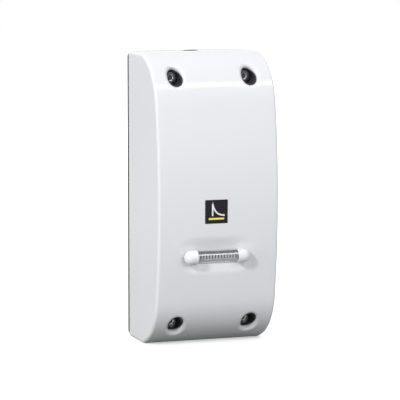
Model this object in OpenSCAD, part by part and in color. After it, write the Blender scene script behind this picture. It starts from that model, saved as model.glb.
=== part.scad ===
// Lightning strike counter that clamps onto a round down conductor.
// Lengths are in millimetres and angles in degrees.
// The modules work with the case lying on its back: x runs across it, y up it,
// and z forward from the wall. facing() then stands the piece up, with its front towards -Y.

/* [Case] */
// Width of the case
case_w = 82; // [80:1:92]
// Height of the case
case_h = 190; // [187:1:200]
// Depth of the cover at mid height, in front of the back plate
case_depth = 62.3; // [60:0.1:68]
// Radius of the long curve of the front
front_r = 390; // [360:5:450]
// Radius of the curve that turns the front into each end
corner_r = 37; // [33:0.5:40]
// Angle that the end curve has turned through where it runs out
corner_a = 68; // [65:1:71]
// Depth of the flat top and bottom, in front of the back plate
lip_depth = 27.8; // [25:0.1:30]
// Wall of the cover
wall = 2.8; // [2.4:0.1:3.2]
// Radius of the upright corners, seen from the front
outline_r = 3; // [2:0.5:4]
// Thickness of the back plate
plate_t = 3.2; // [3:0.1:4]

/* [Down conductor] */
// Diameter of the round conductor
conductor_d = 8; // [6:0.5:9]
// Rubber between the conductor and the back plate
conductor_back = 1; // [0.8:0.1:1.6]
// Width of the notch that lets the conductor into the cover
notch_w = 11.5; // [11:0.1:13]
// Distance of the middle of each conductor clamp from the end of the case
clamp_end = 19; // [16:1:22]

/* [Cover screws] */
// Distance of the screws from the ends of the case
screw_end = 15.5; // [14:0.5:18]
// Diameter of the pocket round each screw
pocket_d = 11; // [10.6:0.1:12]
// Height of the pocket's floor in front of the back plate
pocket_floor = 32.8; // [30:0.1:34]
// Thread diameter of the cover screws
screw_d = 5; // [4:0.5:5]
// Length of a cover screw under its head
screw_l = 30; // [28:0.5:31]
// Diameter of a cover screw's head
head_d = 8.5; // [7.5:0.1:8.6]

/* [Strike indicator] */
// Distance of the indicator and the icon to the left of the middle of the front
face_left = 1.9; // [0:0.1:3]
// Height of the indicator tube, measured from mid height
window_y = -34.4; // [-40:0.1:-30]
// Length over the two domed caps
window_l = 44.2; // [42:0.1:50]
// Diameter of the caps
cap_d = 9.6; // [9.2:0.1:11]
// Length of the clear stretch between the caps
clear_l = 28.2; // [26:0.1:30]
// Outer diameter of the clear tube
tube_d = 8.8; // [8.4:0.1:9]
// Depth of the scoop in the front that the tube lies in
scoop_depth = 2; // [1:0.1:2.4]
// Number of light bars in the tube
bar_count = 14; // [8:1:14]
// Distance between light bars
bar_pitch = 2; // [1.6:0.1:2]

/* [Icon plate] */
// Side of the square icon plate
icon_w = 15.4; // [10:0.1:20]
// Height of its middle, measured from mid height
icon_y = -5.5; // [-10:0.5:10]

/* [Circuit board] */
// Gap between the main board and the cover's side walls
board_side = 2.7; // [2.2:0.1:3.2]
// Distance of the main board from the ends of the case
board_end = 28; // [26:1:30]
// Thickness of the main board
board_t = 1.6; // [1.2:0.1:2]
// Height of the board's rear face in front of the back plate
board_stand = 32.8; // [32:0.1:34]

/* [Current sensor] */
// Height of the sensor's middle, measured from mid height
sensor_y = 18; // [10:1:24]
// Width over the legs of the sensor core
core_w = 44; // [42:0.5:48]
// Width of a leg of the core
core_leg = 7; // [5:0.5:8]
// Thickness of the bar that joins the legs
core_bar = 8; // [6:0.5:8.5]
// Height of the core's stack
core_h = 16; // [12:0.5:18]
// Clear space between the bar's front face and the board
core_room = 8; // [7.6:0.1:9]

/* [Battery] */
// Diameter of the battery cell
cell_d = 14.5; // [13:0.1:15]
// Length of the battery cell's can
cell_l = 50.5; // [46:0.5:51]
// Distance of the battery's middle from the lower end of the main board
cell_end = 25; // [21:1:28]

/* [Hidden] */

// Overrun of every cut
cut = 1;
// Gap round a piece that is pressed or laid in by hand
seat_gap = 0.05;
// Gap round a screw in its clearance hole
hole_gap = 0.3;
// Gap between a thread's plain stand-in and its insert
thread_gap = 0.08;
$fn = 64;
// How far, and over what angle, the end arc of the side outline laps its neighbours
lap = 0.05;
lap_a = 6;
// Smoothness of the two long curves of the case
front_fn = 720;
corner_fn = 180;

// Back plate: locating rib, screw bosses and conductor saddles
rib_h = 3;
rib_t = 1.6;
rib_gap = 0.25;
rib_break = 8;
boss_d = 11;
boss_h = 12.8;
saddle_gap = 1.7;
saddle_l = 12;
split_gap = 0.4;

// Base gasket in its groove
gasket_w = 1.6;
gasket_t = 0.9;

// Threaded inserts: outer size, waist and length
cover_insert_d = 7;
cover_insert_l = 10;
clamp_insert_d = 5.8;
clamp_insert_l = 6.4;
insert_waist = 0.4;
insert_rim_share = 0.28;

// Entry seals: flange inside the cover's wall
seal_flange = 2.4;
seal_flange_t = 2.2;

// Clamp straps and their screws
strap_t = 3;
clamp_room = 2;
clamp_edge = 5.5;
clamp_screw_d = 4;
clamp_screw_l = 10;
clamp_head_d = 7;
clamp_head_h = 3.8;
hex_share = 0.47;
hex_depth_share = 0.5;
head_edge = 0.5;

// Cover: screw columns, board posts, pad behind the indicator
column_d = 11;
cup_wall = 1.8;
floor_t = 2.5;
post_d = 7;
post_side = 4.5;
post_end = 5;
post_bore_d = 2.6;
post_bore_l = 8;
pad_margin = 3.5;
pad_h = 26;
pad_t = 1.6;
scoop_r = 30;
scoop_l = 29;
scoop_drop = 1.8;

// Pocket bushes, sealing washers and cover screw heads
bush_wall = 1;
bush_floor = 1.5;
bush_inset = 1.8;
washer_d = 8.6;
washer_t = 1;
head_h = 5;

// Indicator: caps, feet, clips, board, bars and lead
cap_dome_r = 3.8;
cap_socket = 2;
tube_wall = 0.7;
foot_d = 4.4;
foot_end = 3;
lead_d = 1.6;
clip_d = 9;
clip_t = 0.6;
ind_board_w = 6.4;
ind_board_t = 0.8;
reflector_w = 4.2;
reflector_t = 0.9;
bar_w = 0.9;
bar_l = 2.8;
socket_size = [7, 6, 5];

// Icon plate
icon_t = 0.25;
icon_r = 0.6;

// Board parts: places from the board's middle and sizes, shares of the board where they follow it
board_r = 2;
board_screw_d = 2.5;
board_screw_l = 7;
board_head_d = 5.4;
board_head_h = 2;
mcu_size = [12, 12, 1.4];
mcu_place_share = [-0.11, -0.075];
lead_row = 11;
lead_span_share = 0.9;
lead_size = [0.4, 1.2, 0.7];
lead_root = 0.2;
radio_size = [16, 25, 0.8];
radio_place_share = [0.25, 0.17];
radio_can = [13.5, 16, 2];
radio_can_up = 3.6;
cap_can_d = 12.5;
cap_can_room = 7.1;
cap_can_dy = 14.5;
cap_place_share = [-0.3, 0.27];
cap_neck = 0.5;
cap_bead = 2.4;
arrester_d = 8;
arrester_l = 6;
arrester_rim = 1;
arrester_dy = 10;
arrester_place_share = [-0.3, 0.06];
resistor_d = 3.4;
resistor_l = 9;
resistor_dy = 5;
resistor_place_share = [0.02, 0.27];
header_size = [20, 9, 8.8];
header_wall = 1.2;
header_pin = 0.6;
header_pitch = 2.54;
header_place_share = [0.27, -0.12];
crystal_size = [10.8, 4.6, 3.4];
crystal_round_share = 0.49;
crystal_place_share = [-0.11, -0.185];
coin_d = 20;
coin_t = 3.2;
coin_wall = 1.4;
coin_place_share = [0.2, -0.36];
switch_w = 6;
switch_t = 3.4;
switch_place_share = [-0.31, -0.14];
plunger_d = 3.4;
plunger_up = 1;
plunger_in = 1.2;
plunger_travel = 0.3;
plunger_gap = 0.1;

// Sensor core: gap to the plate, bobbin, winding and clip
core_gap = 1;
bobbin_l = 26;
bobbin_wall = 1.2;
bobbin_flange = 1.5;
bobbin_out = 4.6;
winding_t = 4;
winding_r = 3;
clip_band_w = 8;
clip_band_t = 0.6;
clip_reach = 21;
clip_hook = 1.5;
clip_board_gap = 1;
clip_groove_gap = 0.15;

// Battery holder, contacts and spring
holder_floor = 1.5;
holder_wall = 1.4;
holder_gap = 0.2;
holder_end_room = 6.5;
cheek_share = 0.85;
contact_t = 0.4;
contact_w = 11;
nub_d = 5.5;
nub_l = 1;
cell_edge = 1;
spring_d1 = 11;
spring_d2 = 6;
spring_wire = 0.8;

// Derived places of the screws, clamps and board, and sizes that follow them
screw_dy = case_h - 2 * screw_end;
clamp_y = case_h / 2 - clamp_end;
clamp_dx = conductor_d + 2 * strap_t + clamp_head_d + 2 * clamp_room;
saddle_w = clamp_dx + 2 * clamp_edge;
screw_dx = saddle_w + 2 * saddle_gap + boss_d;
board_w = case_w - 2 * wall - 2 * board_side;
board_h = case_h - 2 * board_end;
post_dx = board_w - 2 * post_side;
post_dy = board_h - 2 * post_end;
pad_w = window_l + 2 * pad_margin;
cell_y = cell_end - board_h / 2;

// Derived places along z, forward from the rear face of the back plate
conductor_z = plate_t + conductor_back + conductor_d / 2;
boss_top = plate_t + boss_h;
seat_z = plate_t + pocket_floor;
washer_z = seat_z + bush_floor;
head_z = washer_z + washer_t;
board_back = plate_t + board_stand;
board_front = board_back + board_t;
front_top = plate_t + case_depth;
cap_can_h = front_top - wall - board_front - cap_can_room;
saddle_top = conductor_z - split_gap;
strap_back = conductor_z + split_gap;
strap_front = strap_back + strap_t;

// Side outline of the case: one long arc, an arc at each end and a straight run to the flat ends.
// The end arc stands proud of both its neighbours by the lap, so that they cross and join.
front_o = [0, front_top - front_r];
end_n = [sin(corner_a), cos(corner_a)];
end_t = [cos(corner_a), -sin(corner_a)];
end_c = end_n * [case_h / 2, plate_t + lip_depth];
end_in = end_c - corner_r + lap;
end_along = end_t * front_o
    - sqrt(pow(front_r - corner_r + lap, 2) - pow(end_in - end_n * front_o, 2));
corner_o = end_in * end_n + end_along * end_t;
front_a = atan2(corner_o[0], corner_o[1] - front_o[1]);
function tangent_front(inset) = front_o + (front_r - inset) * [sin(front_a), cos(front_a)];
function tangent_end(inset) = corner_o + (corner_r - inset) * end_n;
function lip(inset) = [case_h / 2 - inset,
    (end_c - inset - end_n[0] * (case_h / 2 - inset)) / end_n[1]];
function skin_z(y) = abs(y) < tangent_front(0)[0]
    ? front_o[1] + sqrt(front_r * front_r - y * y)
    : corner_o[1] + sqrt(corner_r * corner_r - pow(abs(y) - corner_o[0], 2));

// Places of the indicator tube in its scoop
face_x = -face_left;
scoop_z = skin_z(window_y) - scoop_depth;
tube_z = scoop_z + seat_gap + cap_d / 2;
cap_l = (window_l - clear_l) / 2;
foot_x = (clear_l + cap_l) / 2;
pad_back = skin_z(window_y) - wall - pad_t;
foot_back = pad_back - foot_end;
ind_back = tube_z - reflector_t;

// Places of the sensor and the battery
core_front = board_back - core_room;
core_back = core_front - core_bar;
core_mid = core_front - core_bar / 2;
clip_top = board_back - clip_board_gap;
clip_low = clip_top - clip_reach;
cell_z = board_back - holder_floor - holder_gap - cell_d / 2;
holder_in = cell_l + nub_l + holder_end_room;
spring_l = holder_in - cell_l - nub_l - 2 * contact_t;
cell_x = -holder_in / 2 + contact_t + spring_l;

ends = [1, -1];
corners = [[-1, 1], [1, 1], [-1, -1], [1, -1]];

// Helpers

// Stand the lying model up, with its front towards -Y
module facing() rotate([90, 0, 0]) children();

// Extrude a drawing of y and z across the case, centred on x = 0
module along_x(w) rotate([90, 0, 90]) linear_extrude(w, center = true) children();

// Extrude a drawing of x and z up the case, from y0 over the length l
module along_y(y0, l) translate([0, y0 + l, 0]) rotate([90, 0, 0]) linear_extrude(l) children();

// A box centred on x and y that starts at the height z
module box_at(x, y, z, size) translate([x - size[0] / 2, y - size[1] / 2, z]) cube(size);

// A cylinder that stands at x and y, from the height z0 to z1
module post(x, y, z0, z1, d) translate([x, y, z0]) cylinder(h = z1 - z0, d = d);

// A rounded rectangle drawn with true arcs
module rounded(w, h, r) {
    square([w - 2 * r, h], center = true);
    square([w, h - 2 * r], center = true);
    for (c = corners) translate([c[0] * (w / 2 - r), c[1] * (h / 2 - r)]) circle(r);
}

// The case seen from the front
module outline(inset) rounded(case_w - 2 * inset, case_h - 2 * inset,
    max(outline_r - inset, outline_r / 6));

// The cover seen from the side, y against z, reaching back behind the cover's rear edge
module side_view(inset, back) {
    low = plate_t - back;
    a = tangent_front(inset);
    b = tangent_end(inset + lap);
    c = lip(inset);
    o = corner_o;
    polygon([[-c[0], low], [c[0], low], c, b, o, [-o[0], o[1]], [-b[0], b[1]], [-c[0], c[1]]]);
    intersection() {
        translate(front_o) circle(front_r - inset, $fn = front_fn);
        translate([-a[0], low]) square([2 * a[0], front_top + cut]);
    }
    for (s = [0, 1]) mirror([s, 0]) translate(o) intersection() {
        circle(corner_r - inset, $fn = corner_fn);
        polygon([[0, 0], for (t = [front_a - lap_a, (front_a + corner_a) / 2, corner_a + lap_a])
            2 * corner_r * [sin(t), cos(t)]]);
    }
}

// The notch for the conductor, x against z, grown by a margin
module notch_view(grow) {
    translate([0, conductor_z]) circle(d = notch_w + 2 * grow);
    translate([-notch_w / 2 - grow, plate_t - max(grow, 0)])
        square([notch_w + 2 * grow, conductor_z - plate_t + max(grow, 0)]);
}

// A socket head screw along z, its head's seat at the height z
module socket_screw(x, y, z, d, l, hd, hh) translate([x, y, z]) difference() {
    union() {
        translate([0, 0, -l]) cylinder(h = l + head_edge, d = d);
        cylinder(h = hh - head_edge, d = hd);
        translate([0, 0, hh - head_edge])
            cylinder(h = head_edge, d1 = hd, d2 = hd - 2 * head_edge);
    }
    translate([0, 0, hh * (1 - hex_depth_share)])
        cylinder(h = hh, d = hd * hex_share / cos(30), $fn = 6);
}

// A threaded insert whose front face is at the height z
module insert(x, y, z, d, l, bore) translate([x, y, z - l]) rotate_extrude()
    polygon([[bore / 2, 0], [d / 2, 0], [d / 2, l * insert_rim_share],
        [d / 2 - insert_waist, l * insert_rim_share],
        [d / 2 - insert_waist, l * (1 - insert_rim_share)],
        [d / 2, l * (1 - insert_rim_share)], [d / 2, l], [bore / 2, l]]);

// Where a board part stands
function on_board(share) = [board_w * share[0], board_h * share[1]];

// Base

module back_plate() facing() color([0.33, 0.32, 0.32]) difference() {
    union() {
        linear_extrude(plate_t) outline(0);
        difference() {
            linear_extrude(plate_t + rib_h) outline(wall + rib_gap);
            translate([0, 0, -cut]) linear_extrude(plate_t + rib_h + 2 * cut)
                outline(wall + rib_gap + rib_t);
            for (s = ends) box_at(0, s * case_h / 2, plate_t,
                [notch_w + 2 * seal_flange + rib_break, 2 * (wall + rib_gap + rib_t) + cut,
                    rib_h + cut]);
        }
        for (c = corners) post(c[0] * screw_dx / 2, c[1] * screw_dy / 2, 0, boss_top, boss_d);
        for (s = ends) box_at(0, s * clamp_y, 0, [saddle_w, saddle_l, saddle_top]);
    }
    translate([0, 0, plate_t - gasket_t]) linear_extrude(gasket_t + cut) gasket_view();
    for (c = corners) post(c[0] * screw_dx / 2, c[1] * screw_dy / 2,
        boss_top - cover_insert_l, boss_top + cut, cover_insert_d);
    for (s = ends, c = ends) post(c * clamp_dx / 2, s * clamp_y,
        saddle_top - clamp_insert_l, saddle_top + cut, clamp_insert_d);
    translate([0, case_h / 2 + cut, conductor_z]) rotate([90, 0, 0])
        cylinder(h = case_h + 2 * cut, d = conductor_d);
}

module gasket_view() difference() {
    outline((wall - gasket_w) / 2);
    outline((wall + gasket_w) / 2);
}

module base_gasket() facing() color([0.12, 0.12, 0.12])
    translate([0, 0, plate_t - gasket_t]) linear_extrude(gasket_t) gasket_view();

module cover_screw_inserts() facing() color([0.78, 0.62, 0.3]) for (c = corners)
    insert(c[0] * screw_dx / 2, c[1] * screw_dy / 2, boss_top,
        cover_insert_d, cover_insert_l, screw_d + 2 * thread_gap);

module clamp_screw_inserts() facing() color([0.78, 0.62, 0.3]) for (s = ends, c = ends)
    insert(c * clamp_dx / 2, s * clamp_y, saddle_top,
        clamp_insert_d, clamp_insert_l, clamp_screw_d + 2 * thread_gap);

module entry_seal() facing() color([0.1, 0.1, 0.1]) difference() {
    intersection() {
        union() {
            along_y(case_h / 2 - wall - seat_gap, wall + seat_gap) notch_view(-seat_gap);
            along_y(case_h / 2 - wall - seat_gap - seal_flange_t, seal_flange_t)
                notch_view(seal_flange);
        }
        box_at(0, case_h / 2, plate_t, [case_w, case_h, case_depth]);
    }
    translate([0, case_h / 2 + cut, conductor_z]) rotate([90, 0, 0])
        cylinder(h = case_h / 2, d = conductor_d + 2 * seat_gap);
}

module top_entry_seal() entry_seal();

module bottom_entry_seal() mirror([0, 0, 1]) entry_seal();

// Conductor clamps

module clamp_strap(s) facing() color([0.72, 0.72, 0.74]) difference() {
    intersection() {
        along_y(s * clamp_y - saddle_l / 2, saddle_l) {
            translate([-saddle_w / 2, strap_back]) square([saddle_w, strap_t]);
            translate([0, conductor_z]) circle(d = conductor_d + 2 * strap_t);
        }
        box_at(0, s * clamp_y, strap_back, [saddle_w, saddle_l, case_depth]);
    }
    translate([0, s * clamp_y + saddle_l, conductor_z]) rotate([90, 0, 0])
        cylinder(h = 2 * saddle_l, d = conductor_d);
    for (c = ends) post(c * clamp_dx / 2, s * clamp_y, strap_back - cut, strap_front + cut,
        clamp_screw_d + 2 * hole_gap);
}

module top_clamp_strap() clamp_strap(1);

module bottom_clamp_strap() clamp_strap(-1);

module clamp_screw(c, s) facing() color([0.6, 0.6, 0.62])
    socket_screw(c * clamp_dx / 2, s * clamp_y, strap_front,
        clamp_screw_d, clamp_screw_l, clamp_head_d, clamp_head_h);

module top_clamp_screw_left() clamp_screw(-1, 1);

module top_clamp_screw_right() clamp_screw(1, 1);

module bottom_clamp_screw_left() clamp_screw(-1, -1);

module bottom_clamp_screw_right() clamp_screw(1, -1);

// Cover

module cover_solid() intersection() {
    along_x(case_w) side_view(0, 0);
    linear_extrude(front_top + cut) outline(0);
}

module scoop() translate([face_x, window_y - scoop_drop, scoop_z + sqrt(scoop_r * scoop_r - scoop_drop * scoop_drop)]) {
    rotate([0, 90, 0]) cylinder(h = scoop_l, r = scoop_r, center = true, $fn = corner_fn);
    for (s = ends) translate([s * scoop_l / 2, 0, 0]) sphere(scoop_r, $fn = corner_fn);
}

module front_cover() facing() color([0.93, 0.93, 0.94]) difference() {
    union() {
        difference() {
            cover_solid();
            along_x(case_w - 2 * wall) side_view(wall, cut);
        }
        intersection() {
            along_x(case_w - wall) side_view(wall / 2, 0);
            union() {
                for (c = corners) {
                    x = c[0] * screw_dx / 2;
                    y = c[1] * screw_dy / 2;
                    post(x, y, boss_top, seat_z, column_d);
                    post(x, y, seat_z - floor_t, front_top, pocket_d + 2 * cup_wall);
                    post(c[0] * post_dx / 2, c[1] * post_dy / 2, board_front, front_top, post_d);
                }
                box_at(face_x, window_y, pad_back, [pad_w, pad_h, case_depth]);
            }
        }
    }
    for (c = corners) {
        x = c[0] * screw_dx / 2;
        y = c[1] * screw_dy / 2;
        post(x, y, seat_z, front_top + cut, pocket_d);
        post(x, y, boss_top - cut, seat_z + cut, screw_d + 2 * hole_gap);
        post(c[0] * post_dx / 2, c[1] * post_dy / 2, board_front - cut,
            board_front + post_bore_l, post_bore_d);
    }
    for (s = ends) {
        post(face_x + s * foot_x, window_y, pad_back - cut, front_top + cut,
            foot_d + 2 * seat_gap);
        along_y(s * case_h / 2 - wall - cut, 2 * (wall + cut)) {
            notch_view(0);
            translate([-notch_w / 2, plate_t - cut]) square([notch_w, 2 * cut]);
        }
    }
    scoop();
}

module pocket_bushes() facing() color([0.08, 0.08, 0.08]) for (c = corners)
    translate([c[0] * screw_dx / 2, c[1] * screw_dy / 2, 0]) difference() {
        intersection() {
            post(0, 0, seat_z, front_top, pocket_d - 2 * seat_gap);
            translate([-c[0] * screw_dx / 2, -c[1] * screw_dy / 2, 0])
                along_x(case_w) side_view(bush_inset, 0);
        }
        post(0, 0, washer_z, front_top + cut, pocket_d - 2 * seat_gap - 2 * bush_wall);
        post(0, 0, seat_z - cut, washer_z + cut, screw_d + 2 * hole_gap);
    }

module icon_plate() facing() color([0.06, 0.06, 0.06]) intersection() {
    translate([face_x, 0, 0]) along_x(icon_w) difference() {
        side_view(-icon_t, 0);
        side_view(0, cut);
    }
    translate([face_x, icon_y, 0]) linear_extrude(front_top + cut)
        rounded(icon_w, icon_w, icon_r);
}

// Strike indicator

module window_tube() facing() color([0.8, 0.85, 0.88, 0.4])
    translate([face_x, window_y, tube_z]) rotate([0, 90, 0]) difference() {
        cylinder(h = clear_l + 2 * cap_socket - 2 * seat_gap, d = tube_d, center = true);
        cylinder(h = window_l, d = tube_d - 2 * tube_wall, center = true);
    }

module window_cap(s) facing() color([0.95, 0.95, 0.96]) difference() {
    cap_x = face_x + s * clear_l / 2;
    union() {
        translate([cap_x, window_y, tube_z]) rotate([0, s * 90, 0]) rotate_extrude() {
            square([cap_d / 2, cap_l - cap_dome_r]);
            square([cap_d / 2 - cap_dome_r, cap_l]);
            intersection() {
                translate([cap_d / 2 - cap_dome_r, cap_l - cap_dome_r]) circle(cap_dome_r);
                square([cap_d / 2, cap_l]);
            }
        }
        post(face_x + s * foot_x, window_y, foot_back, tube_z, foot_d);
    }
    translate([cap_x, window_y, tube_z]) rotate([0, s * 90, 0])
        translate([0, 0, -cut]) cylinder(h = cap_socket + cut, d = tube_d + 2 * seat_gap);
    translate([cap_x, window_y, tube_z]) rotate([0, s * 90, 0])
        cylinder(h = cap_l / 2 + foot_d / 4, d = ind_board_w);
    post(face_x + s * foot_x, window_y, foot_back - cut, tube_z, lead_d + 2 * seat_gap);
}

module window_cap_left() window_cap(-1);

module window_cap_right() window_cap(1);

module cap_clips() facing() color([0.7, 0.7, 0.72]) for (s = ends) difference() {
    post(face_x + s * foot_x, window_y, pad_back - clip_t, pad_back, clip_d);
    post(face_x + s * foot_x, window_y, pad_back - clip_t - cut, pad_back + cut, foot_d);
}

module indicator_board() facing() color([0.12, 0.25, 0.2])
    box_at(face_x, window_y, ind_back - ind_board_t,
        [clear_l + 2 * cap_socket, ind_board_w - 2 * seat_gap, ind_board_t]);

module indicator_reflector() facing() color([0.9, 0.9, 0.9]) difference() {
    box_at(face_x, window_y, ind_back,
        [bar_count * bar_pitch, reflector_w, reflector_t]);
    for (i = [0 : bar_count - 1])
        box_at(face_x + (i - (bar_count - 1) / 2) * bar_pitch, window_y, ind_back - cut,
            [bar_w, bar_l, reflector_t + 2 * cut]);
}

module indicator_bars() facing() color([0.25, 0.27, 0.28]) for (i = [0 : bar_count - 1])
    box_at(face_x + (i - (bar_count - 1) / 2) * bar_pitch, window_y, ind_back,
        [bar_w, bar_l, reflector_t]);

module indicator_lead() facing() color([0.15, 0.15, 0.15])
    post(face_x - foot_x, window_y, board_front + socket_size[2], ind_back - ind_board_t,
        lead_d);

module indicator_socket() facing() color([0.9, 0.88, 0.8])
    box_at(face_x - foot_x, window_y, board_front, socket_size);

// Main board and what is soldered to it

module main_board() facing() color([0.05, 0.35, 0.18]) difference() {
    translate([0, 0, board_back]) linear_extrude(board_t) rounded(board_w, board_h, board_r);
    for (c = corners) post(c[0] * post_dx / 2, c[1] * post_dy / 2,
        board_back - cut, board_front + cut, board_screw_d + 2 * hole_gap);
}

module board_screws() facing() color([0.75, 0.75, 0.77]) for (c = corners) {
    x = c[0] * post_dx / 2;
    y = c[1] * post_dy / 2;
    difference() {
        post(x, y, board_back - board_head_h, board_back, board_head_d);
        post(x, y, board_back - board_head_h - cut, board_back - board_head_h / 2,
            board_head_d / 2);
    }
    post(x, y, board_back - board_head_h / 2, board_back + board_screw_l, board_screw_d);
}

module microcontroller() facing() color([0.1, 0.1, 0.11]) {
    p = on_board(mcu_place_share);
    lift = lead_size[2] / 4;
    box_at(p[0], p[1], board_front + lift, mcu_size - [0, 0, lift]);
    for (a = [0 : 3], i = [0 : lead_row - 1]) translate([p[0], p[1], board_front])
        rotate([0, 0, 90 * a])
            box_at((i - (lead_row - 1) / 2) * mcu_size[0] * lead_span_share / lead_row,
                mcu_size[1] / 2 + (lead_size[1] - lead_root) / 2, 0, lead_size + [0, lead_root, 0]);
}

module wireless_module() facing() color([0.1, 0.2, 0.45]) {
    p = on_board(radio_place_share);
    box_at(p[0], p[1], board_front, radio_size);
    box_at(p[0], p[1] - radio_can_up, board_front + radio_size[2], radio_can);
}

module storage_capacitors() facing() color([0.15, 0.18, 0.3]) for (s = ends) {
    p = on_board(cap_place_share);
    translate([p[0], p[1] + s * cap_can_dy / 2, board_front]) rotate_extrude()
        polygon([[0, 0], [cap_can_d / 2, 0], [cap_can_d / 2, cap_bead - cap_neck],
            [cap_can_d / 2 - cap_neck, cap_bead], [cap_can_d / 2, cap_bead + cap_neck],
            [cap_can_d / 2, cap_can_h - cap_neck], [cap_can_d / 2 - cap_neck, cap_can_h],
            [0, cap_can_h]]);
}

module surge_arresters() facing() color([0.85, 0.84, 0.8]) for (s = ends) {
    p = on_board(arrester_place_share);
    translate([p[0], p[1] + s * arrester_dy / 2, board_front + arrester_d / 2])
        rotate([0, 90, 0]) {
            cylinder(h = arrester_l, d = arrester_d - arrester_rim, center = true);
            for (e = ends) translate([0, 0, e * (arrester_l + arrester_rim) / 2])
                cylinder(h = arrester_rim, d = arrester_d, center = true);
        }
}

module burden_resistors() facing() color([0.75, 0.68, 0.5]) for (i = [-1 : 1]) {
    p = on_board(resistor_place_share);
    translate([p[0], p[1] + i * resistor_dy, board_front + resistor_d / 2])
        rotate([0, 90, 0]) cylinder(h = resistor_l, d = resistor_d, center = true);
}

module data_connector() facing() color([0.15, 0.15, 0.16]) {
    p = on_board(header_place_share);
    difference() {
        box_at(p[0], p[1], board_front, header_size);
        box_at(p[0], p[1], board_front + header_wall,
            [header_size[0] - 2 * header_wall, header_size[1] - 2 * header_wall, header_size[2]]);
    }
    for (i = [-2 : 2], s = ends)
        box_at(p[0] + i * header_pitch, p[1] + s * header_pitch / 2, board_front,
            [header_pin, header_pin, header_size[2] - header_wall]);
}

module clock_crystal() facing() color([0.8, 0.8, 0.82]) {
    p = on_board(crystal_place_share);
    translate([p[0], p[1], board_front]) linear_extrude(crystal_size[2])
        rounded(crystal_size[0], crystal_size[1], crystal_size[1] * crystal_round_share);
}

module clock_cell_holder() facing() color([0.12, 0.12, 0.13]) {
    p = on_board(coin_place_share);
    difference() {
        post(p[0], p[1], board_front, board_front + coin_wall + coin_t / 2,
            coin_d + 2 * coin_wall);
        post(p[0], p[1], board_front + coin_wall, board_front + coin_t + 2 * coin_wall,
            coin_d + 2 * seat_gap);
    }
}

module clock_cell() facing() color([0.82, 0.82, 0.84]) {
    p = on_board(coin_place_share);
    post(p[0], p[1], board_front + coin_wall, board_front + coin_wall + coin_t, coin_d);
}

module service_switch() facing() color([0.14, 0.14, 0.14]) {
    p = on_board(switch_place_share);
    difference() {
        box_at(p[0], p[1], board_front, [switch_w, switch_w, switch_t]);
        post(p[0], p[1], board_front + switch_t - plunger_in - plunger_travel,
            board_front + switch_t + cut, plunger_d + 2 * plunger_gap);
    }
}

module switch_plunger() facing() color([0.7, 0.15, 0.12]) {
    p = on_board(switch_place_share);
    post(p[0], p[1], board_front + switch_t - plunger_in,
        board_front + switch_t + plunger_up, plunger_d);
}

// Current sensor

module core_half(s) facing() color([0.28, 0.27, 0.27]) mirror([s < 0 ? 1 : 0, 0, 0]) {
    g = clip_groove_gap;
    difference() {
        along_y(sensor_y - core_h / 2, core_h) {
            translate([0, core_back]) square([core_w / 2, core_bar]);
            translate([core_w / 2 - core_leg, plate_t + core_gap])
                square([core_leg, core_front - plate_t - core_gap]);
        }
        box_at(core_w / 2, sensor_y, clip_low - g,
            [2 * (clip_hook + g), clip_band_w + 2 * g, clip_band_t + 2 * g]);
    }
}

module core_half_left() core_half(-1);

module core_half_right() core_half(1);

module core_clip() facing() color([0.75, 0.75, 0.77])
    along_y(sensor_y - clip_band_w / 2, clip_band_w) {
        half = core_w / 2 + clip_band_t;
        difference() {
            translate([-half, clip_low]) square([2 * half, clip_reach]);
            translate([-half + clip_band_t, clip_low + clip_band_t])
                square([2 * half - 2 * clip_band_t, clip_reach - 2 * clip_band_t]);
            translate([-core_w / 2 + clip_hook, clip_low - cut])
                square([core_w - 2 * clip_hook, clip_band_t + 2 * cut]);
        }
    }

// The bobbin's tube, y against z, grown by a margin
module bobbin_view(grow, r) translate([sensor_y, core_mid])
    rounded(core_h + 2 * grow, core_bar + 2 * grow, r);

module coil_bobbin() facing() color([0.2, 0.2, 0.22]) difference() {
    union() {
        along_x(bobbin_l) bobbin_view(bobbin_wall + seat_gap, bobbin_wall);
        for (s = ends) translate([s * (bobbin_l - bobbin_flange) / 2, 0, 0])
            along_x(bobbin_flange) {
                bobbin_view(bobbin_wall + bobbin_out, bobbin_wall);
                translate([sensor_y - core_h / 2 - bobbin_wall - bobbin_out, core_mid])
                    square([core_h + 2 * (bobbin_wall + bobbin_out), board_back - core_mid]);
            }
    }
    box_at(0, sensor_y, core_back - seat_gap,
        [core_w, core_h + 2 * seat_gap, core_bar + 2 * seat_gap]);
    box_at(0, sensor_y, core_mid + core_bar / 2 + bobbin_wall + winding_t + seat_gap,
        [core_w, clip_band_w + 2 * seat_gap, core_room]);
}

module coil_winding() facing() color([0.7, 0.35, 0.15])
    along_x(bobbin_l - 2 * bobbin_flange) difference() {
        bobbin_view(bobbin_wall + seat_gap + winding_t, winding_r);
        bobbin_view(bobbin_wall + seat_gap, bobbin_wall);
    }

// Battery

module battery_holder() facing() color([0.1, 0.1, 0.1]) {
    wide = cell_d + 2 * holder_gap + 2 * holder_wall;
    long = holder_in + 2 * holder_wall;
    deep = holder_floor + holder_gap + cell_d * cheek_share;
    difference() {
        box_at(0, cell_y, board_back - deep, [long, wide, deep]);
        box_at(0, cell_y, board_back - deep - cut,
            [holder_in, cell_d + 2 * holder_gap, deep - holder_floor + cut]);
    }
}

module battery_cell() facing() color([0.55, 0.6, 0.65])
    translate([cell_x, cell_y, cell_z]) rotate([0, 90, 0]) rotate_extrude()
        polygon([[0, 0], [cell_d / 2 - cell_edge, 0], [cell_d / 2, cell_edge],
            [cell_d / 2, cell_l - cell_edge], [cell_d / 2 - cell_edge, cell_l],
            [nub_d / 2, cell_l], [nub_d / 2, cell_l + nub_l], [0, cell_l + nub_l]]);

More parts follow.
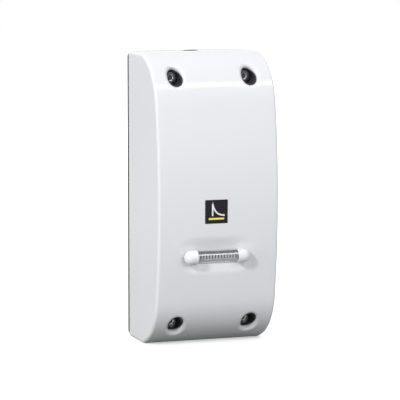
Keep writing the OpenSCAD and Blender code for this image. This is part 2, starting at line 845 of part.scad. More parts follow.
module battery_contacts() facing() color([0.85, 0.82, 0.7]) for (s = ends)
    box_at(s * (holder_in - contact_t) / 2, cell_y, cell_z - contact_w / 2,
        [contact_t, contact_w, board_back - holder_floor - cell_z + contact_w / 2]);

module battery_spring() facing() color([0.85, 0.82, 0.7])
    translate([cell_x - spring_l, cell_y, cell_z]) rotate([0, 90, 0]) rotate_extrude()
        polygon([[spring_d1 / 2 - spring_wire, 0], [spring_d1 / 2, 0],
            [spring_d2 / 2, spring_l], [spring_d2 / 2 - spring_wire, spring_l]]);

// Cover screws and their sealing washers

module washer(c) facing() color([0.65, 0.65, 0.67])
    translate([c[0] * screw_dx / 2, c[1] * screw_dy / 2, washer_z]) difference() {
        cylinder(h = washer_t, d = washer_d);
        translate([0, 0, -cut]) cylinder(h = washer_t + 2 * cut, d = screw_d + 2 * thread_gap);
    }

module washer_top_left() washer(corners[0]);

module washer_top_right() washer(corners[1]);

module washer_bottom_left() washer(corners[2]);

module washer_bottom_right() washer(corners[3]);

module cover_screw(c) facing() color([0.14, 0.14, 0.15])
    socket_screw(c[0] * screw_dx / 2, c[1] * screw_dy / 2, head_z,
        screw_d, screw_l, head_d, head_h);

module screw_top_left() cover_screw(corners[0]);

module screw_top_right() cover_screw(corners[1]);

module screw_bottom_left() cover_screw(corners[2]);

module screw_bottom_right() cover_screw(corners[3]);

back_plate();
base_gasket();
cover_screw_inserts();
clamp_screw_inserts();
top_entry_seal();
bottom_entry_seal();
top_clamp_strap();
bottom_clamp_strap();
top_clamp_screw_left();
top_clamp_screw_right();
bottom_clamp_screw_left();
bottom_clamp_screw_right();
front_cover();
pocket_bushes();
icon_plate();
window_tube();
window_cap_left();
window_cap_right();
cap_clips();
indicator_board();
indicator_reflector();
indicator_bars();
indicator_lead();
indicator_socket();
main_board();
board_screws();
microcontroller();
wireless_module();
storage_capacitors();
surge_arresters();
burden_resistors();
data_connector();
clock_crystal();
clock_cell_holder();
clock_cell();
service_switch();
switch_plunger();
core_half_left();
core_half_right();
core_clip();
coil_bobbin();
coil_winding();
battery_holder();
battery_cell();
battery_contacts();
battery_spring();
washer_top_left();
washer_top_right();
washer_bottom_left();
washer_bottom_right();
screw_top_left();
screw_top_right();
screw_bottom_left();
screw_bottom_right();
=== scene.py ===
"""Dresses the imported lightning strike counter: shapes, finishes, camera and studio.

Shapes are worked out in millimetres in the lying frame of the case: x across it, y up it and
z forward from the wall. place() stands them up, with the front towards -Y, and turns them to
metres. Every formula is written out in its function's docstring.
"""
import math

import bmesh
import bpy
import numpy as np
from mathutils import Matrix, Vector


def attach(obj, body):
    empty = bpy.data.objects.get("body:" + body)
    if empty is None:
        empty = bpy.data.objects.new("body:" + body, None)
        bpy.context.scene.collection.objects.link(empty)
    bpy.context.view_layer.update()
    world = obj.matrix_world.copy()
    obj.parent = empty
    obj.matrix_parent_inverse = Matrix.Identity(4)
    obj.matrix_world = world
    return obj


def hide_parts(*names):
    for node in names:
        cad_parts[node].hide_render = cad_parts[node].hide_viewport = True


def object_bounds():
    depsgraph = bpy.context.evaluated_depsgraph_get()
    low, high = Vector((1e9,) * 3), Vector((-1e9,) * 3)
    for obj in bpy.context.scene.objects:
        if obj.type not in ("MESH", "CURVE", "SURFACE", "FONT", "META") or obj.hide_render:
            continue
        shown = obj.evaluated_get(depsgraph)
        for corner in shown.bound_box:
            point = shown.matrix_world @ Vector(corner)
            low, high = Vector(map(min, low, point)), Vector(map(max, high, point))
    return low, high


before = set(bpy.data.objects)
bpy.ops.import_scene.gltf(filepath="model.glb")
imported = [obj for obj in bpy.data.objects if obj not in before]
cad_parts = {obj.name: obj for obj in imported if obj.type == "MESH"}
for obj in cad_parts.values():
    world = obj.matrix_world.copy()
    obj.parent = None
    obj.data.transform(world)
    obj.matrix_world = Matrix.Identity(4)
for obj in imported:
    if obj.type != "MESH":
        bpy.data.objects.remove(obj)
cad_low, cad_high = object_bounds()

MM = 0.001
WELD = 0.002  # mm within which points become one
TAU = 2 * math.pi

# Camera, fitted to the outline of the case: focal length in image widths, place and direction
LENS_MM = 206.73
SENSOR_MM = 36.0
CAMERA_PLACE = (-0.49303, -1.44295, 0.18081)
CAMERA_BACK = (-0.32660, -0.93734, 0.12135)

# Case, as in the part's own source
CASE_W, CASE_H = 82.0, 190.0
PLATE_T = 3.2
WALL = 2.8
FRONT_TOP = 65.5
FRONT_R, END_R, END_A = 390.0, 37.0, math.radians(68.0)
LIP_Z = 31.0
HALF_W, HALF_H = CASE_W / 2, CASE_H / 2
SCREW_X, SCREW_Y = 25.2, 79.5
SEAT_Z, WASHER_Z, HEAD_Z = 36.0, 37.5, 38.5
POST_X, POST_Y = 31.0, 62.0
CLAMP_X, CLAMP_Y, CLAMP_W = 12.5, 76.0, 12.0
SADDLE_TOP, STRAP_LOW, STRAP_TOP = 7.8, 8.6, 11.6
PAD_W, PAD_H, PAD_T = 51.2, 26.0, 1.6
BOSS_TOP = 16.0
POCKET_R = 5.15
CONDUCTOR_Z = 8.2
NOTCH_W = 11.5
WINDOW_X, WINDOW_Y = -1.9, -34.4
ICON_Y, ICON_W = -5.5, 15.4
BOARD_BACK, BOARD_FRONT = 36.0, 37.6

# Edges that the mould rounds off, and the square of skin round each pocket
EDGE_R = 1.8
END_EDGE_R = 2.0
RIM_R = 2.2
LIP_R = 6.0
PATCH, PATCH_N = 10.3, 20
PATCH_OUT = SCREW_Y + PATCH

# Scoop that the indicator lies in
SCOOP_DEPTH, SCOOP_R, SCOOP_L, SCOOP_DROP, SCOOP_EASE = 2.0, 30.0, 29.0, 1.8, 1.2


# ---------------------------------------------------------------- meshes from formulas

def place(points):
    """Lying frame in mm to the row frame in m: (x, y, z) goes to (x, -z, y) / 1000."""
    p = np.asarray(points, float).reshape(-1, 3)
    return np.stack([p[:, 0], -p[:, 2], p[:, 1]], 1) * MM


def corners(dx, dy):
    """Places dx and dy from the middle: top left, top right, bottom left, bottom right."""
    return [(sx * dx, sy * dy) for sy in (1, -1) for sx in (-1, 1)]


SCREWS = corners(SCREW_X, SCREW_Y)
POSTS = corners(POST_X, POST_Y)
CLAMPS = corners(CLAMP_X, CLAMP_Y)


def grid_faces(nu, nv, wrap_u=False, wrap_v=False):
    """Quads of a grid of nu by nv points, closed round u or v where asked."""
    i = np.arange(nu if wrap_u else nu - 1)
    j = np.arange(nv if wrap_v else nv - 1)
    i, j = np.meshgrid(i, j, indexing="ij")
    a, b = (i + 1) % nu, (j + 1) % nv
    return np.stack([i * nv + j, a * nv + j, a * nv + b, i * nv + b], -1).reshape(-1, 4)


class Shape:
    """Points and faces gathered from several grids, in the lying frame."""

    def __init__(self):
        self.points, self.faces, self.count = [], [], 0

    def add(self, points, faces):
        points = np.asarray(points, float).reshape(-1, 3)
        self.points.append(points)
        self.faces.extend((np.asarray(f) + self.count).tolist() for f in faces)
        self.count += len(points)
        return self

    def grid(self, p, wrap_u=False, wrap_v=False):
        return self.add(p, grid_faces(*p.shape[:2], wrap_u, wrap_v))

    def lid(self, ring):
        """One flat face over a ring of points."""
        return self.add(ring, [np.arange(len(ring))])

    def mesh(self):
        """One welded mesh, faces pointing out."""
        me = bpy.data.meshes.new("shape")
        me.from_pydata(place(np.concatenate(self.points)).tolist(), [], self.faces)
        bm = bmesh.new()
        bm.from_mesh(me)
        bmesh.ops.remove_doubles(bm, verts=bm.verts, dist=WELD * MM)
        bmesh.ops.dissolve_degenerate(bm, edges=bm.edges, dist=1e-9)
        bmesh.ops.recalc_face_normals(bm, faces=bm.faces)
        bm.to_mesh(me)
        bm.free()
        return me


def new_object(name, mesh):
    obj = bpy.data.objects.new(name, mesh)
    bpy.context.scene.collection.objects.link(obj)
    return obj


def frozen(obj):
    """The object's mesh with its modifiers applied, as a new mesh."""
    graph = bpy.context.evaluated_depsgraph_get()
    return bpy.data.meshes.new_from_object(obj.evaluated_get(graph), depsgraph=graph)


def as_mesh(shape):
    return shape.mesh() if isinstance(shape, Shape) else shape


def cut_with(mesh, tool, operation):
    """Joins or cuts two closed meshes or shapes."""
    a, b = new_object("cut_a", as_mesh(mesh)), new_object("cut_b", as_mesh(tool))
    m = a.modifiers.new("cut", "BOOLEAN")
    m.operation, m.object, m.solver = operation, b, "MANIFOLD"
    bpy.context.view_layer.update()
    out = frozen(a)
    for o in (a, b):
        bpy.data.objects.remove(o)
    return out


def revolve(rings, origin, axis="z", n=48):
    """Rings of (radius, height) turned round an axis through origin: at the angle a a point
    lies at radius * (cos a, sin a) and at the height along the axis. A radius may be a function
    of the angle and height, so that a knurl, hexagon or thread can be turned with the rest."""
    a = np.arange(n) / n * TAU
    p = []
    for r, h in rings:
        r = r(a, h) if callable(r) else np.full(n, float(r))
        p.append(np.stack([r * np.cos(a), r * np.sin(a), np.full(n, h)], 1))
    order = {"x": [2, 0, 1], "y": [1, 2, 0], "z": [0, 1, 2]}[axis]
    return np.stack(p, 1)[..., order] + np.asarray(origin, float)


def arc(cx, cy, r, a0, a1, n):
    """Points of a circle round (cx, cy) from the angle a0 to a1, in degrees."""
    a = np.radians(np.linspace(a0, a1, n + 1))
    return np.stack([cx + r * np.cos(a), cy + r * np.sin(a)], 1)


def spun(p, a):
    """Points turned about z by the angle a: (x cos a - y sin a, x sin a + y cos a)."""
    c, s = math.cos(a), math.sin(a)
    return np.column_stack([p[:, 0] * c - p[:, 1] * s, p[:, 0] * s + p[:, 1] * c, p[:, 2:]])


def lathe(rings, origin, axis="z", n=48):
    """A turned shape whose rings start and end on the axis, or else close on themselves."""
    return Shape().grid(revolve(rings, origin, axis, n), wrap_u=True, wrap_v=rings[0][0] > 0)


def lathes(profile, places, n=48):
    """The same upright turned shape at each place (x, y)."""
    return [lathe(profile, (x, y, 0), n=n) for x, y in places]


def rods(r, low, high, places, n=48):
    """Upright cylinders of radius r at the places (x, y)."""
    return lathes([(0, low), (r, low), (r, high), (0, high)], places, n)


def level(outline, z, centre=(0, 0)):
    """An outline of (x, y) points moved to a centre and set at the height z."""
    return np.column_stack([outline + np.asarray(centre), np.full(len(outline), z)])


def prism(outline, low, high, axis="z"):
    """An outline of (u, v) points carried straight from low to high along the axis."""
    ends = [level(outline, h) for h in (low, high)]
    if axis == "y":
        ends = [e[:, [0, 2, 1]] for e in ends]
    if axis == "x":
        ends = [e[:, [2, 0, 1]] for e in ends]
    return loft(ends)


def rounded_rect(w, h, r, n):
    """Outline of a rectangle centred on the origin with arcs of radius r at its corners."""
    parts = [arc(sx * (w / 2 - r), sy * (h / 2 - r), r, a, a + 90, n)
             for sx, sy, a in ((1, 1, 0), (-1, 1, 90), (-1, -1, 180), (1, -1, 270))]
    return np.concatenate(parts)


def pillow(w, h, r, low, high, e, centre=(0, 0), n=5, k=3):
    """A flat box with rounded upright corners of radius r and edges rounded by e: at the angle
    s each ring is drawn in by e (1 - sin s), at the height e (1 - cos s) from its face."""
    p = []
    for start, away, turns in ((low, 1, (0, 90)), (high, -1, (90, 0))):
        for t in np.linspace(*turns, k + 1):
            s = math.radians(t)
            inset = e * (1 - math.sin(s))
            o = rounded_rect(w - 2 * inset, h - 2 * inset, max(r - inset, r * 0.2), n)
            p.append(level(o, start + away * (e * (1 - math.cos(s))), centre))
    return loft(p)


def joined(*shapes):
    """Several shapes as one, each with its own skin."""
    s = Shape()
    for other in shapes:
        s.add(np.concatenate(other.points), other.faces)
    return s


def loft(rings, wrap=False):
    """A skin over rings with the same number of points, closed by lids or back on itself."""
    rings = [np.asarray(r, float) for r in rings]
    s = Shape().grid(np.stack(rings, 1), wrap_u=True, wrap_v=wrap)
    return s if wrap else s.lid(rings[0]).lid(rings[-1])


def ripple(r, depth, teeth, twist=0.0):
    """A ring of radius r with teeth of the given depth, turned on by twist radians a mm."""
    return lambda a, z: r - depth * (0.5 + 0.5 * np.cos((a + twist * z) * teeth))


def tube_along(path, r, n):
    """A round wire of radius r along a path: at each point a circle is set square to the path,
    turned as little as possible from the one before."""
    path = np.asarray(path, float)
    ahead = np.roll(path, -1, 0) - np.roll(path, 1, 0)
    ahead[0], ahead[-1] = path[1] - path[0], path[-1] - path[-2]
    ahead /= np.linalg.norm(ahead, axis=1)[:, None]
    side = np.cross(ahead[0], [0.31, 0.94, 0.17])
    rings, a = [], np.arange(n) / n * TAU
    for here, t in zip(path, ahead):
        side = side - t * (side @ t)
        side /= np.linalg.norm(side)
        up = np.cross(t, side)
        rings.append(here + r * (np.outer(np.cos(a), side) + np.outer(np.sin(a), up)))
    return Shape().grid(np.stack(rings), wrap_v=True).lid(rings[0]).lid(rings[-1])


def eased(mesh, width, segments=2, angle=30):
    """Every edge that turns by more than the angle is rounded over the width, in mm."""
    obj = new_object("eased", as_mesh(mesh))
    m = obj.modifiers.new("ease", "BEVEL")
    m.width, m.segments, m.limit_method = width * MM, segments, "ANGLE"
    m.angle_limit, m.use_clamp_overlap, m.harden_normals = math.radians(angle), True, False
    bpy.context.view_layer.update()
    out = frozen(obj)
    bpy.data.objects.remove(obj)
    return out


def box(cx, cy, z0, w, h, t, r=0.02):
    """A plain block for cutting or easing: its outline about (cx, cy), from z0 up by t."""
    return prism(rounded_rect(w, h, r, 1) + np.array([cx, cy]), z0, z0 + t)


def less(shape, *cuts):
    """A shape or mesh less the shapes."""
    return cut_with(shape, joined(*cuts), "DIFFERENCE")


def plus(shape, *more):
    for other in more:
        shape = cut_with(shape, other, "UNION")
    return shape


def merged(*meshes):
    """Several meshes as one, not joined into each other."""
    bm = bmesh.new()
    for me in meshes:
        bm.from_mesh(as_mesh(me))
    out = bpy.data.meshes.new("merged")
    bm.to_mesh(out)
    bm.free()
    return out


# ---------------------------------------------------------------- side outline of the case

def outline_points():
    """Centres and tangent points of the side outline, y against z."""
    front = np.array([0.0, FRONT_TOP - FRONT_R])
    n = np.array([math.sin(END_A), math.cos(END_A)])
    t = np.array([math.cos(END_A), -math.sin(END_A)])
    reach = n @ np.array([HALF_H, LIP_Z]) - END_R
    along = t @ front - math.sqrt((FRONT_R - END_R) ** 2 - (reach - n @ front) ** 2)
    return front, reach * n + along * t, n


FRONT_O, END_O, END_N = outline_points()
FRONT_A = math.atan2(END_O[0], END_O[1] - FRONT_O[1])


def skin(y, inset=0.0):
    """Height z of the case's long curve and end curves over y, and its slope dz/dy."""
    y = np.asarray(y, float)
    a, s = np.abs(y), np.sign(y)
    fr, er = FRONT_R - inset, END_R - inset
    fy, ey = fr * math.sin(FRONT_A), END_O[0] + er * END_N[0]
    on_front, on_run = a <= fy, a > ey
    zf = FRONT_O[1] + np.sqrt(np.maximum(fr ** 2 - a ** 2, 1e-9))
    d = np.clip(a - END_O[0], 0.0, er * 0.999)
    ze = END_O[1] + np.sqrt(er ** 2 - d ** 2)
    zr = END_O[1] + er * END_N[1] - (a - ey) * END_N[0] / END_N[1]
    z = np.where(on_front, zf, np.where(on_run, zr, ze))
    slope = np.where(on_front, -a / (zf - FRONT_O[1]),
                     np.where(on_run, -END_N[0] / END_N[1], -d / np.sqrt(er ** 2 - d ** 2)))
    return z, slope * s


def spans(*stops):
    """Even stations between stops given as (value, steps): the steps lead to the next value."""
    out = []
    for (a, n), (b, _) in zip(stops[:-1], stops[1:]):
        out.append(np.linspace(a, b, n + 1)[:-1])
    return np.append(np.concatenate(out), stops[-1][0])


def side_rail(ys, inset, low, lip_r, steps=6):
    """The side outline from rear edge to rear edge: flat end, lip of radius lip_r, run, end
    curve, front, and the same mirrored. Gives points (y, z), outward normals and a weight that
    is 0 on the front and 1 on the flat ends."""
    end_y = HALF_H - inset
    turn = math.pi / 2 - END_A
    o = np.array([end_y - lip_r, float(skin(end_y, inset)[0]) - lip_r * math.tan(turn / 2)])
    a = np.linspace(0.0, turn, steps)
    around = np.stack([np.cos(a), np.sin(a)], 1)
    flat = np.stack([np.full(steps, end_y), np.linspace(low, o[1], steps + 1)[:-1]], 1)
    p = np.concatenate([flat, o + lip_r * around])
    pn = np.concatenate([np.tile([1.0, 0.0], (steps, 1)), around])
    pw = np.concatenate([np.ones(steps), 1 - 0.3 * a / turn])
    z, slope = skin(ys, inset)
    n = np.stack([-slope, np.ones_like(slope)], 1)
    n /= np.linalg.norm(n, axis=1)[:, None]
    w = 0.7 * np.clip((np.abs(ys) - PATCH_OUT) / (p[-1, 0] - PATCH_OUT), 0, 1)
    flip = np.array([-1.0, 1.0])
    return (np.concatenate([p * flip, np.stack([ys, z], 1), p[::-1]]),
            np.concatenate([pn * flip, n, pn[::-1]]), np.concatenate([pw, w, pw[::-1]]))


def skin_with_scoop(x, y):
    """Height of the front with the indicator's scoop: the smaller of the skin and a trough of
    radius SCOOP_R round a level line with round ends, SCOOP_DROP below the tube, joined by a
    polynomial smooth minimum over the height SCOOP_EASE."""
    z = skin(y)[0]
    rho2 = np.maximum(np.abs(x - WINDOW_X) - SCOOP_L / 2, 0) ** 2 + (y - WINDOW_Y + SCOOP_DROP) ** 2
    middle = SCOOP_Z + math.sqrt(SCOOP_R ** 2 - SCOOP_DROP ** 2)
    dip = middle - np.sqrt(np.maximum(SCOOP_R ** 2 - rho2, 1.0))
    h = np.clip(0.5 + 0.5 * (dip - z) / SCOOP_EASE, 0, 1)
    return dip * (1 - h) + z * h - SCOOP_EASE * h * (1 - h)


def pocket_patch(cx, cy):
    """A screw pocket in the skin, on 80 rays from a square in the skin to the pocket's wall.
    Along each ray the rim is rolled by a ball of radius R between the wall at the radius r and
    the skin, whose slope along the ray is s: at the ball's angle f the ray has the length
    r + R (1 - sin f), and the skin falls by R (sqrt(1 + s^2) - s sin f - cos f)."""
    t = np.linspace(-1, 1, PATCH_N + 1)[:-1]
    side = np.ones(PATCH_N)
    edge = PATCH * np.concatenate([np.stack([t, -side], 1), np.stack([side, t], 1),
                                   np.stack([-t, side], 1), np.stack([-side, -t], 1)])
    ray = edge / np.linalg.norm(edge, axis=1)[:, None]
    s = skin(cy + (POCKET_R + RIM_R) * ray[:, 1])[1] * ray[:, 1]
    f0 = np.arctan(s)
    reach = POCKET_R + RIM_R * (1 - np.sin(f0))
    rings = []
    for k in np.linspace(0, 1, 6)[:-1]:
        xy = edge * (1 - k) + ray * (reach * k)[:, None]
        rings.append(np.column_stack([xy, skin(cy + xy[:, 1])[0]]))
    for k in np.linspace(0, 1, 11):
        f = f0 + (math.pi / 2 - f0) * k
        xy = ray * (POCKET_R + RIM_R * (1 - np.sin(f)))[:, None]
        fall = RIM_R * (np.sqrt(1 + s ** 2) - s * np.sin(f) - np.cos(f))
        rings.append(np.column_stack([xy, skin(cy + xy[:, 1])[0] - fall]))
    top = rings[-1][:, 2]
    for k in (0.33, 0.67, 1.0):
        rings.append(np.column_stack([ray * POCKET_R, top + (SEAT_Z - top) * k]))
    p = np.stack(rings)
    p[..., 0] += cx
    p[..., 1] += cy
    return Shape().grid(p, wrap_v=True).lid(p[-1])


def pocket_rim(cy, drop, angles, r):
    """Height of the pocket's wall where the rolled rim meets it, less drop, at the angles."""
    s = skin(cy + (POCKET_R + RIM_R) * np.sin(angles))[1] * np.sin(angles)
    return skin(cy + r * np.sin(angles))[0] - RIM_R * (np.sqrt(1 + s ** 2) - s) - drop


def case_body(inset, half_w, edge_r, end_r, low, lip_r, ys, xs, pockets=False):
    """A closed body on the side outline. Across a station the section is flat for
    |x| < half_w - e, then a quarter circle of radius e towards the flat side: x = half_w - e +
    e sin f, drawn in along the outline's normal by e (1 - cos f)."""
    p, n, w = side_rail(ys, inset, low, lip_r)
    e = edge_r + (end_r - edge_r) * w
    flat_x = np.outer((half_w - e) / (half_w - edge_r), xs)
    flat = np.stack([flat_x, np.repeat(p[:, :1], len(xs), 1), np.repeat(p[:, 1:], len(xs), 1)], -1)
    out = Shape()
    if pockets:
        front = np.abs(p[:, 0]) < PATCH_OUT
        flat[front, :, 2] = skin_with_scoop(flat[front, :, 0], flat[front, :, 1])
        f = grid_faces(len(p), len(xs))
        c = flat.reshape(-1, 3)[f].mean(1)
        hit = ((np.abs(np.abs(c[:, 0]) - SCREW_X) < PATCH) &
               (np.abs(np.abs(c[:, 1]) - SCREW_Y) < PATCH) & (c[:, 2] > SEAT_Z))
        out.add(flat, f[~hit])
        for x in (-SCREW_X, SCREW_X):
            for y in (-SCREW_Y, SCREW_Y):
                patch = pocket_patch(x, y)
                out.add(np.concatenate(patch.points), patch.faces)
    else:
        out.grid(flat)
    rims = {}
    for side in (-1, 1):
        rows = []
        for f in np.radians(np.linspace(0, 90, 9)):
            q = p - n * (e * (1 - math.cos(f)))[:, None]
            rows.append(np.column_stack([side * (half_w - e * (1 - math.sin(f))), q]))
        q = p - n * (e + 0.3)[:, None]
        rows.append(np.column_stack([np.full(len(p), side * half_w), q]))
        rows = np.stack(rows)
        out.grid(rows)
        out.lid(rows[-1])
        rims[side] = rows[:, [0, -1]]
    first = np.concatenate([rims[-1][::-1, 0], flat[0, 1:-1], rims[1][:, 0]])
    last = np.concatenate([rims[1][::-1, 1], flat[-1, -2:0:-1], rims[-1][:, 1]])
    out.lid(np.concatenate([first, last]))
    return out


# ---------------------------------------------------------------- indicator's places

SCOOP_Z = float(skin(WINDOW_Y)[0]) - SCOOP_DEPTH
CAP_R, CAP_L, CLEAR_L, TUBE_R = 4.8, 8.0, 28.2, 4.4
BAR_COUNT, BAR_PITCH = 14, 2.0
TUBE_Z = SCOOP_Z + 0.05 + CAP_R
STRIP_FRONT, CHIP_DROP = TUBE_Z - 0.9, 2.62
FOOT_X = (CLEAR_L + CAP_L) / 2
PAD_BACK = float(skin(WINDOW_Y)[0]) - WALL - PAD_T
FEET = [(WINDOW_X + s * FOOT_X, WINDOW_Y) for s in (-1, 1)]


# ---------------------------------------------------------------- cover

def notch_outline(grow, low, n):
    """The conductor's notch, x against z: a half circle over two straight sides."""
    r = NOTCH_W / 2 + grow
    return np.concatenate([arc(0, CONDUCTOR_Z, r, 0, 180, n), [[-r, low], [r, low]]])


def cover_mesh():
    """The cover: filleted body less its cavity, with columns, posts and pad left standing, then
    the screw holes, bores, cap foot holes and notches cut."""
    ys = spans((-PATCH_OUT, PATCH_N), (PATCH - SCREW_Y, 9), (-50, 38), (-20, 36),
               (SCREW_Y - PATCH, PATCH_N), (PATCH_OUT, 0))
    tip = HALF_H - LIP_R * (1 - math.sin(END_A))
    more = np.array([90.9, 92.2, (92.2 + tip) / 2])
    ys = np.concatenate([-more[::-1], ys, more])
    flat = HALF_W - EDGE_R
    xs = spans((-flat, 3), (-SCREW_X - PATCH, PATCH_N), (-SCREW_X + PATCH, 26),
               (SCREW_X - PATCH, PATCH_N), (SCREW_X + PATCH, 3), (flat, 0))
    body = case_body(0, HALF_W, EDGE_R, END_EDGE_R, PLATE_T, LIP_R, ys, xs, pockets=True)
    ys_in = spans((-89.5, 14), (-66, 30), (66, 14), (89.5, 0))
    cavity = case_body(WALL, HALF_W - WALL, 1.0, 1.2, PLATE_T - 1, 3.2, ys_in,
                       np.linspace(-HALF_W + WALL + 1, HALF_W - WALL - 1, 3))
    column = [(0, BOSS_TOP), (5.1, BOSS_TOP), (5.5, BOSS_TOP + 0.4), (5.5, 33.2), (5.8, 33.5),
              (6.9, 33.5), (7.3, 33.9), (7.3, 70), (0, 70)]
    post = [(0, BOARD_FRONT), (3.2, BOARD_FRONT), (3.5, BOARD_FRONT + 0.3), (3.5, 70), (0, 70)]
    pad = pillow(PAD_W, PAD_H, 1.5, PAD_BACK, 70, 0.3, centre=(WINDOW_X, WINDOW_Y))
    hole = [(0, BOSS_TOP - 1), (3.3, BOSS_TOP - 1), (3.3, BOSS_TOP), (2.8, BOSS_TOP + 0.5),
            (2.8, SEAT_Z + 1), (0, SEAT_Z + 1)]
    bore = [(0, BOARD_FRONT - 1), (1.6, BOARD_FRONT - 1), (1.6, BOARD_FRONT),
            (1.3, BOARD_FRONT + 0.3), (1.3, BOARD_FRONT + 7.5), (0, BOARD_FRONT + 8)]
    cuts = lathes(hole, SCREWS, 40) + lathes(bore, POSTS, 24)
    cuts += rods(2.25, PAD_BACK - 1, 70, FEET, 32)
    notch = notch_outline(0, PLATE_T - 1, 20)
    cuts += [prism(notch, s * HALF_H - WALL - 1, s * HALF_H + WALL + 1, "y") for s in (-1, 1)]
    hollow = less(cavity, *lathes(column, SCREWS), *lathes(post, POSTS, 32), pad)
    return less(cut_with(body, hollow, "DIFFERENCE"), *cuts)


# ---------------------------------------------------------------- finishes

class Link:
    """One output of a shader node. An operator on it adds a Math node."""

    def __init__(self, finish, socket):
        self.finish, self.socket = finish, socket

    def math(self, operation, *others, clamp=False):
        values = dict(enumerate((self,) + others))
        return self.finish.node("Math", values, operation=operation, use_clamp=clamp)

    def behind(self, operation, other):
        return self.finish.node("Math", {0: other, 1: self}, operation=operation)

    def __add__(self, other): return self.math("ADD", other)
    def __radd__(self, other): return self.math("ADD", other)
    def __sub__(self, other): return self.math("SUBTRACT", other)
    def __rsub__(self, other): return self.behind("SUBTRACT", other)
    def __mul__(self, other): return self.math("MULTIPLY", other)
    def __rmul__(self, other): return self.math("MULTIPLY", other)
    def __truediv__(self, other): return self.math("DIVIDE", other)
    def __abs__(self): return self.math("ABSOLUTE")
    def __mod__(self, other): return self.math("FLOORED_MODULO", other)

    def sin(self): return self.math("SINE")
    def root(self): return self.math("SQRT")
    def most(self, other): return self.math("MAXIMUM", other)
    def held(self): return self.math("ADD", 0.0, clamp=True)

    def band(self, centre, half, soft):
        """1 within half of centre, falling to 0 over the width soft."""
        return ((half + soft * 0.5 - abs(self - centre)) / soft).held()

    def step(self, edge, soft):
        """0 below edge and 1 above it, over the width soft."""
        return ((self - edge) / soft + 0.5).held()


class Finish:
    """The nodes of a new material, or of the world. node() adds any node; surface() closes a
    material."""

    def __init__(self, name, world=None):
        self.material = world or bpy.data.materials.new(name)
        self.material.use_nodes = True
        self.tree = self.material.node_tree
        self.tree.nodes.clear()
        if not world:
            self.place = self.node("TexCoord", out="Object")

    def node(self, kind, sockets=None, out=0, **settings):
        """A node of a type, with its settings set first, then its sockets' values or links."""
        n = self.tree.nodes.new("ShaderNode" + kind)
        for key, value in settings.items():
            setattr(n, key, value)
        for key, value in (sockets or {}).items():
            if isinstance(value, Link):
                self.tree.links.new(value.socket, n.inputs[key])
            else:
                n.inputs[key].default_value = value
        return Link(self, n.outputs[out]) if n.outputs else None

    def outputs(self, kind, keys, sockets=None):
        outs = self.node(kind, sockets).socket.node.outputs
        return [Link(self, outs[k]) for k in keys]

    def axes(self, move=(0, 0, 0)):
        """Object coordinates x, y and z in mm, moved."""
        return self.outputs("SeparateXYZ", (0, 1, 2), {0: self.mapped(move=move)})

    def noise(self, scale, detail, rough=0.5, vector=None):
        return self.node("TexNoise", {"Vector": vector or self.place, "Scale": scale,
                                      "Detail": detail, "Roughness": rough})

    def mapped(self, scale=(1000.0, 1000.0, 1000.0), move=(0, 0, 0)):
        """Object coordinates scaled, to mm if no scale is given, and then moved."""
        return self.node("Mapping", {"Vector": self.place, "Scale": scale, "Location": move})

    def mix(self, factor, a, b):
        """Colours a and b mixed; a plain triple is a colour."""
        full = [(*c, 1.0) if isinstance(c, tuple) else c for c in (a, b)]
        return self.node("Mix", {0: factor, 6: full[0], 7: full[1]}, 2, data_type="RGBA")

    def tone(self, colour, amount, value):
        """A colour made up to amount darker or lighter as value goes from 0 to 1."""
        low = tuple(c * (1 - amount) for c in colour)
        high = tuple(min(c * (1 + amount), 1.0) for c in colour)
        return self.mix(value, low, high)

    def surface(self, colour, rough, bump, height, spec=0.5, bare=0.0):
        """The Principled shader. bump is a height in units of the height argument, in mm, and
        bare is the share of bare metal."""
        normal = self.node("Bump", {"Strength": 1.0, "Distance": height * MM, "Height": bump})
        shader = self.node("BsdfPrincipled", {
            "Base Color": colour, "Roughness": rough, "Metallic": bare, "Normal": normal,
            "Specular IOR Level": spec})
        self.node("OutputMaterial", {"Surface": shader})
        return self.material


def moulded(name, colour, rough, grain, shade_by=0.012, spec=0.5, size=2600.0):
    """Moulded plastic: fine spark-eroded grain, slow flow tone and rubbed gloss patches."""
    f = Finish(name)
    fine = f.noise(size, 3.0, 0.6)
    slow = f.noise(18.0, 2.0)
    gloss = f.noise(55.0, 3.0, 0.6)
    return f.surface(f.tone(colour, shade_by, slow * 0.7 + fine * 0.3),
                     rough + (gloss - 0.5) * 0.06 + (fine - 0.5) * 0.05, fine, grain, spec)


def bush_rubber():
    """Wrinkled black rubber: folds about a millimetre wide, paler and glossier on their crests."""
    f = Finish("bush_rubber")
    fold = f.noise(760.0, 3.0, 0.65)
    crest = fold.step(0.56, 0.1)
    fine = f.noise(3000.0, 2.0)
    return f.surface(f.mix(crest, (0.022, 0.021, 0.025), (0.09, 0.088, 0.1)),
                     0.36 - crest * 0.12 + fine * 0.06, fold + fine * 0.1, 0.12)


def screw_steel():
    """Blackened steel, worn bright inside the key's socket: within 2.2 mm of the nearest screw
    axis, where the socket's walls stand, in front of the head's seat."""
    f = Finish("screw_steel")
    x, y, z = f.axes()
    dx, dz = abs(x) - SCREW_X, abs(z) - SCREW_Y
    patch = f.noise(900.0, 3.0, 0.6)
    fine = f.noise(2600.0, 3.0, 0.6)
    worn = (dx * dx + dz * dz).root().band(2.05, 0.25, 0.1) * (y * -1.0 - HEAD_Z).step(0.0, 0.2)
    worn = worn * (0.75 + patch * 0.5)
    look = f.mix(worn.held(), f.tone((0.035, 0.034, 0.038), 0.4, patch), (0.85, 0.85, 0.86))
    bare = worn.held()
    return f.surface(look, 0.2 + patch * 0.12 + fine * 0.04, fine, 0.004, 0.8, bare)


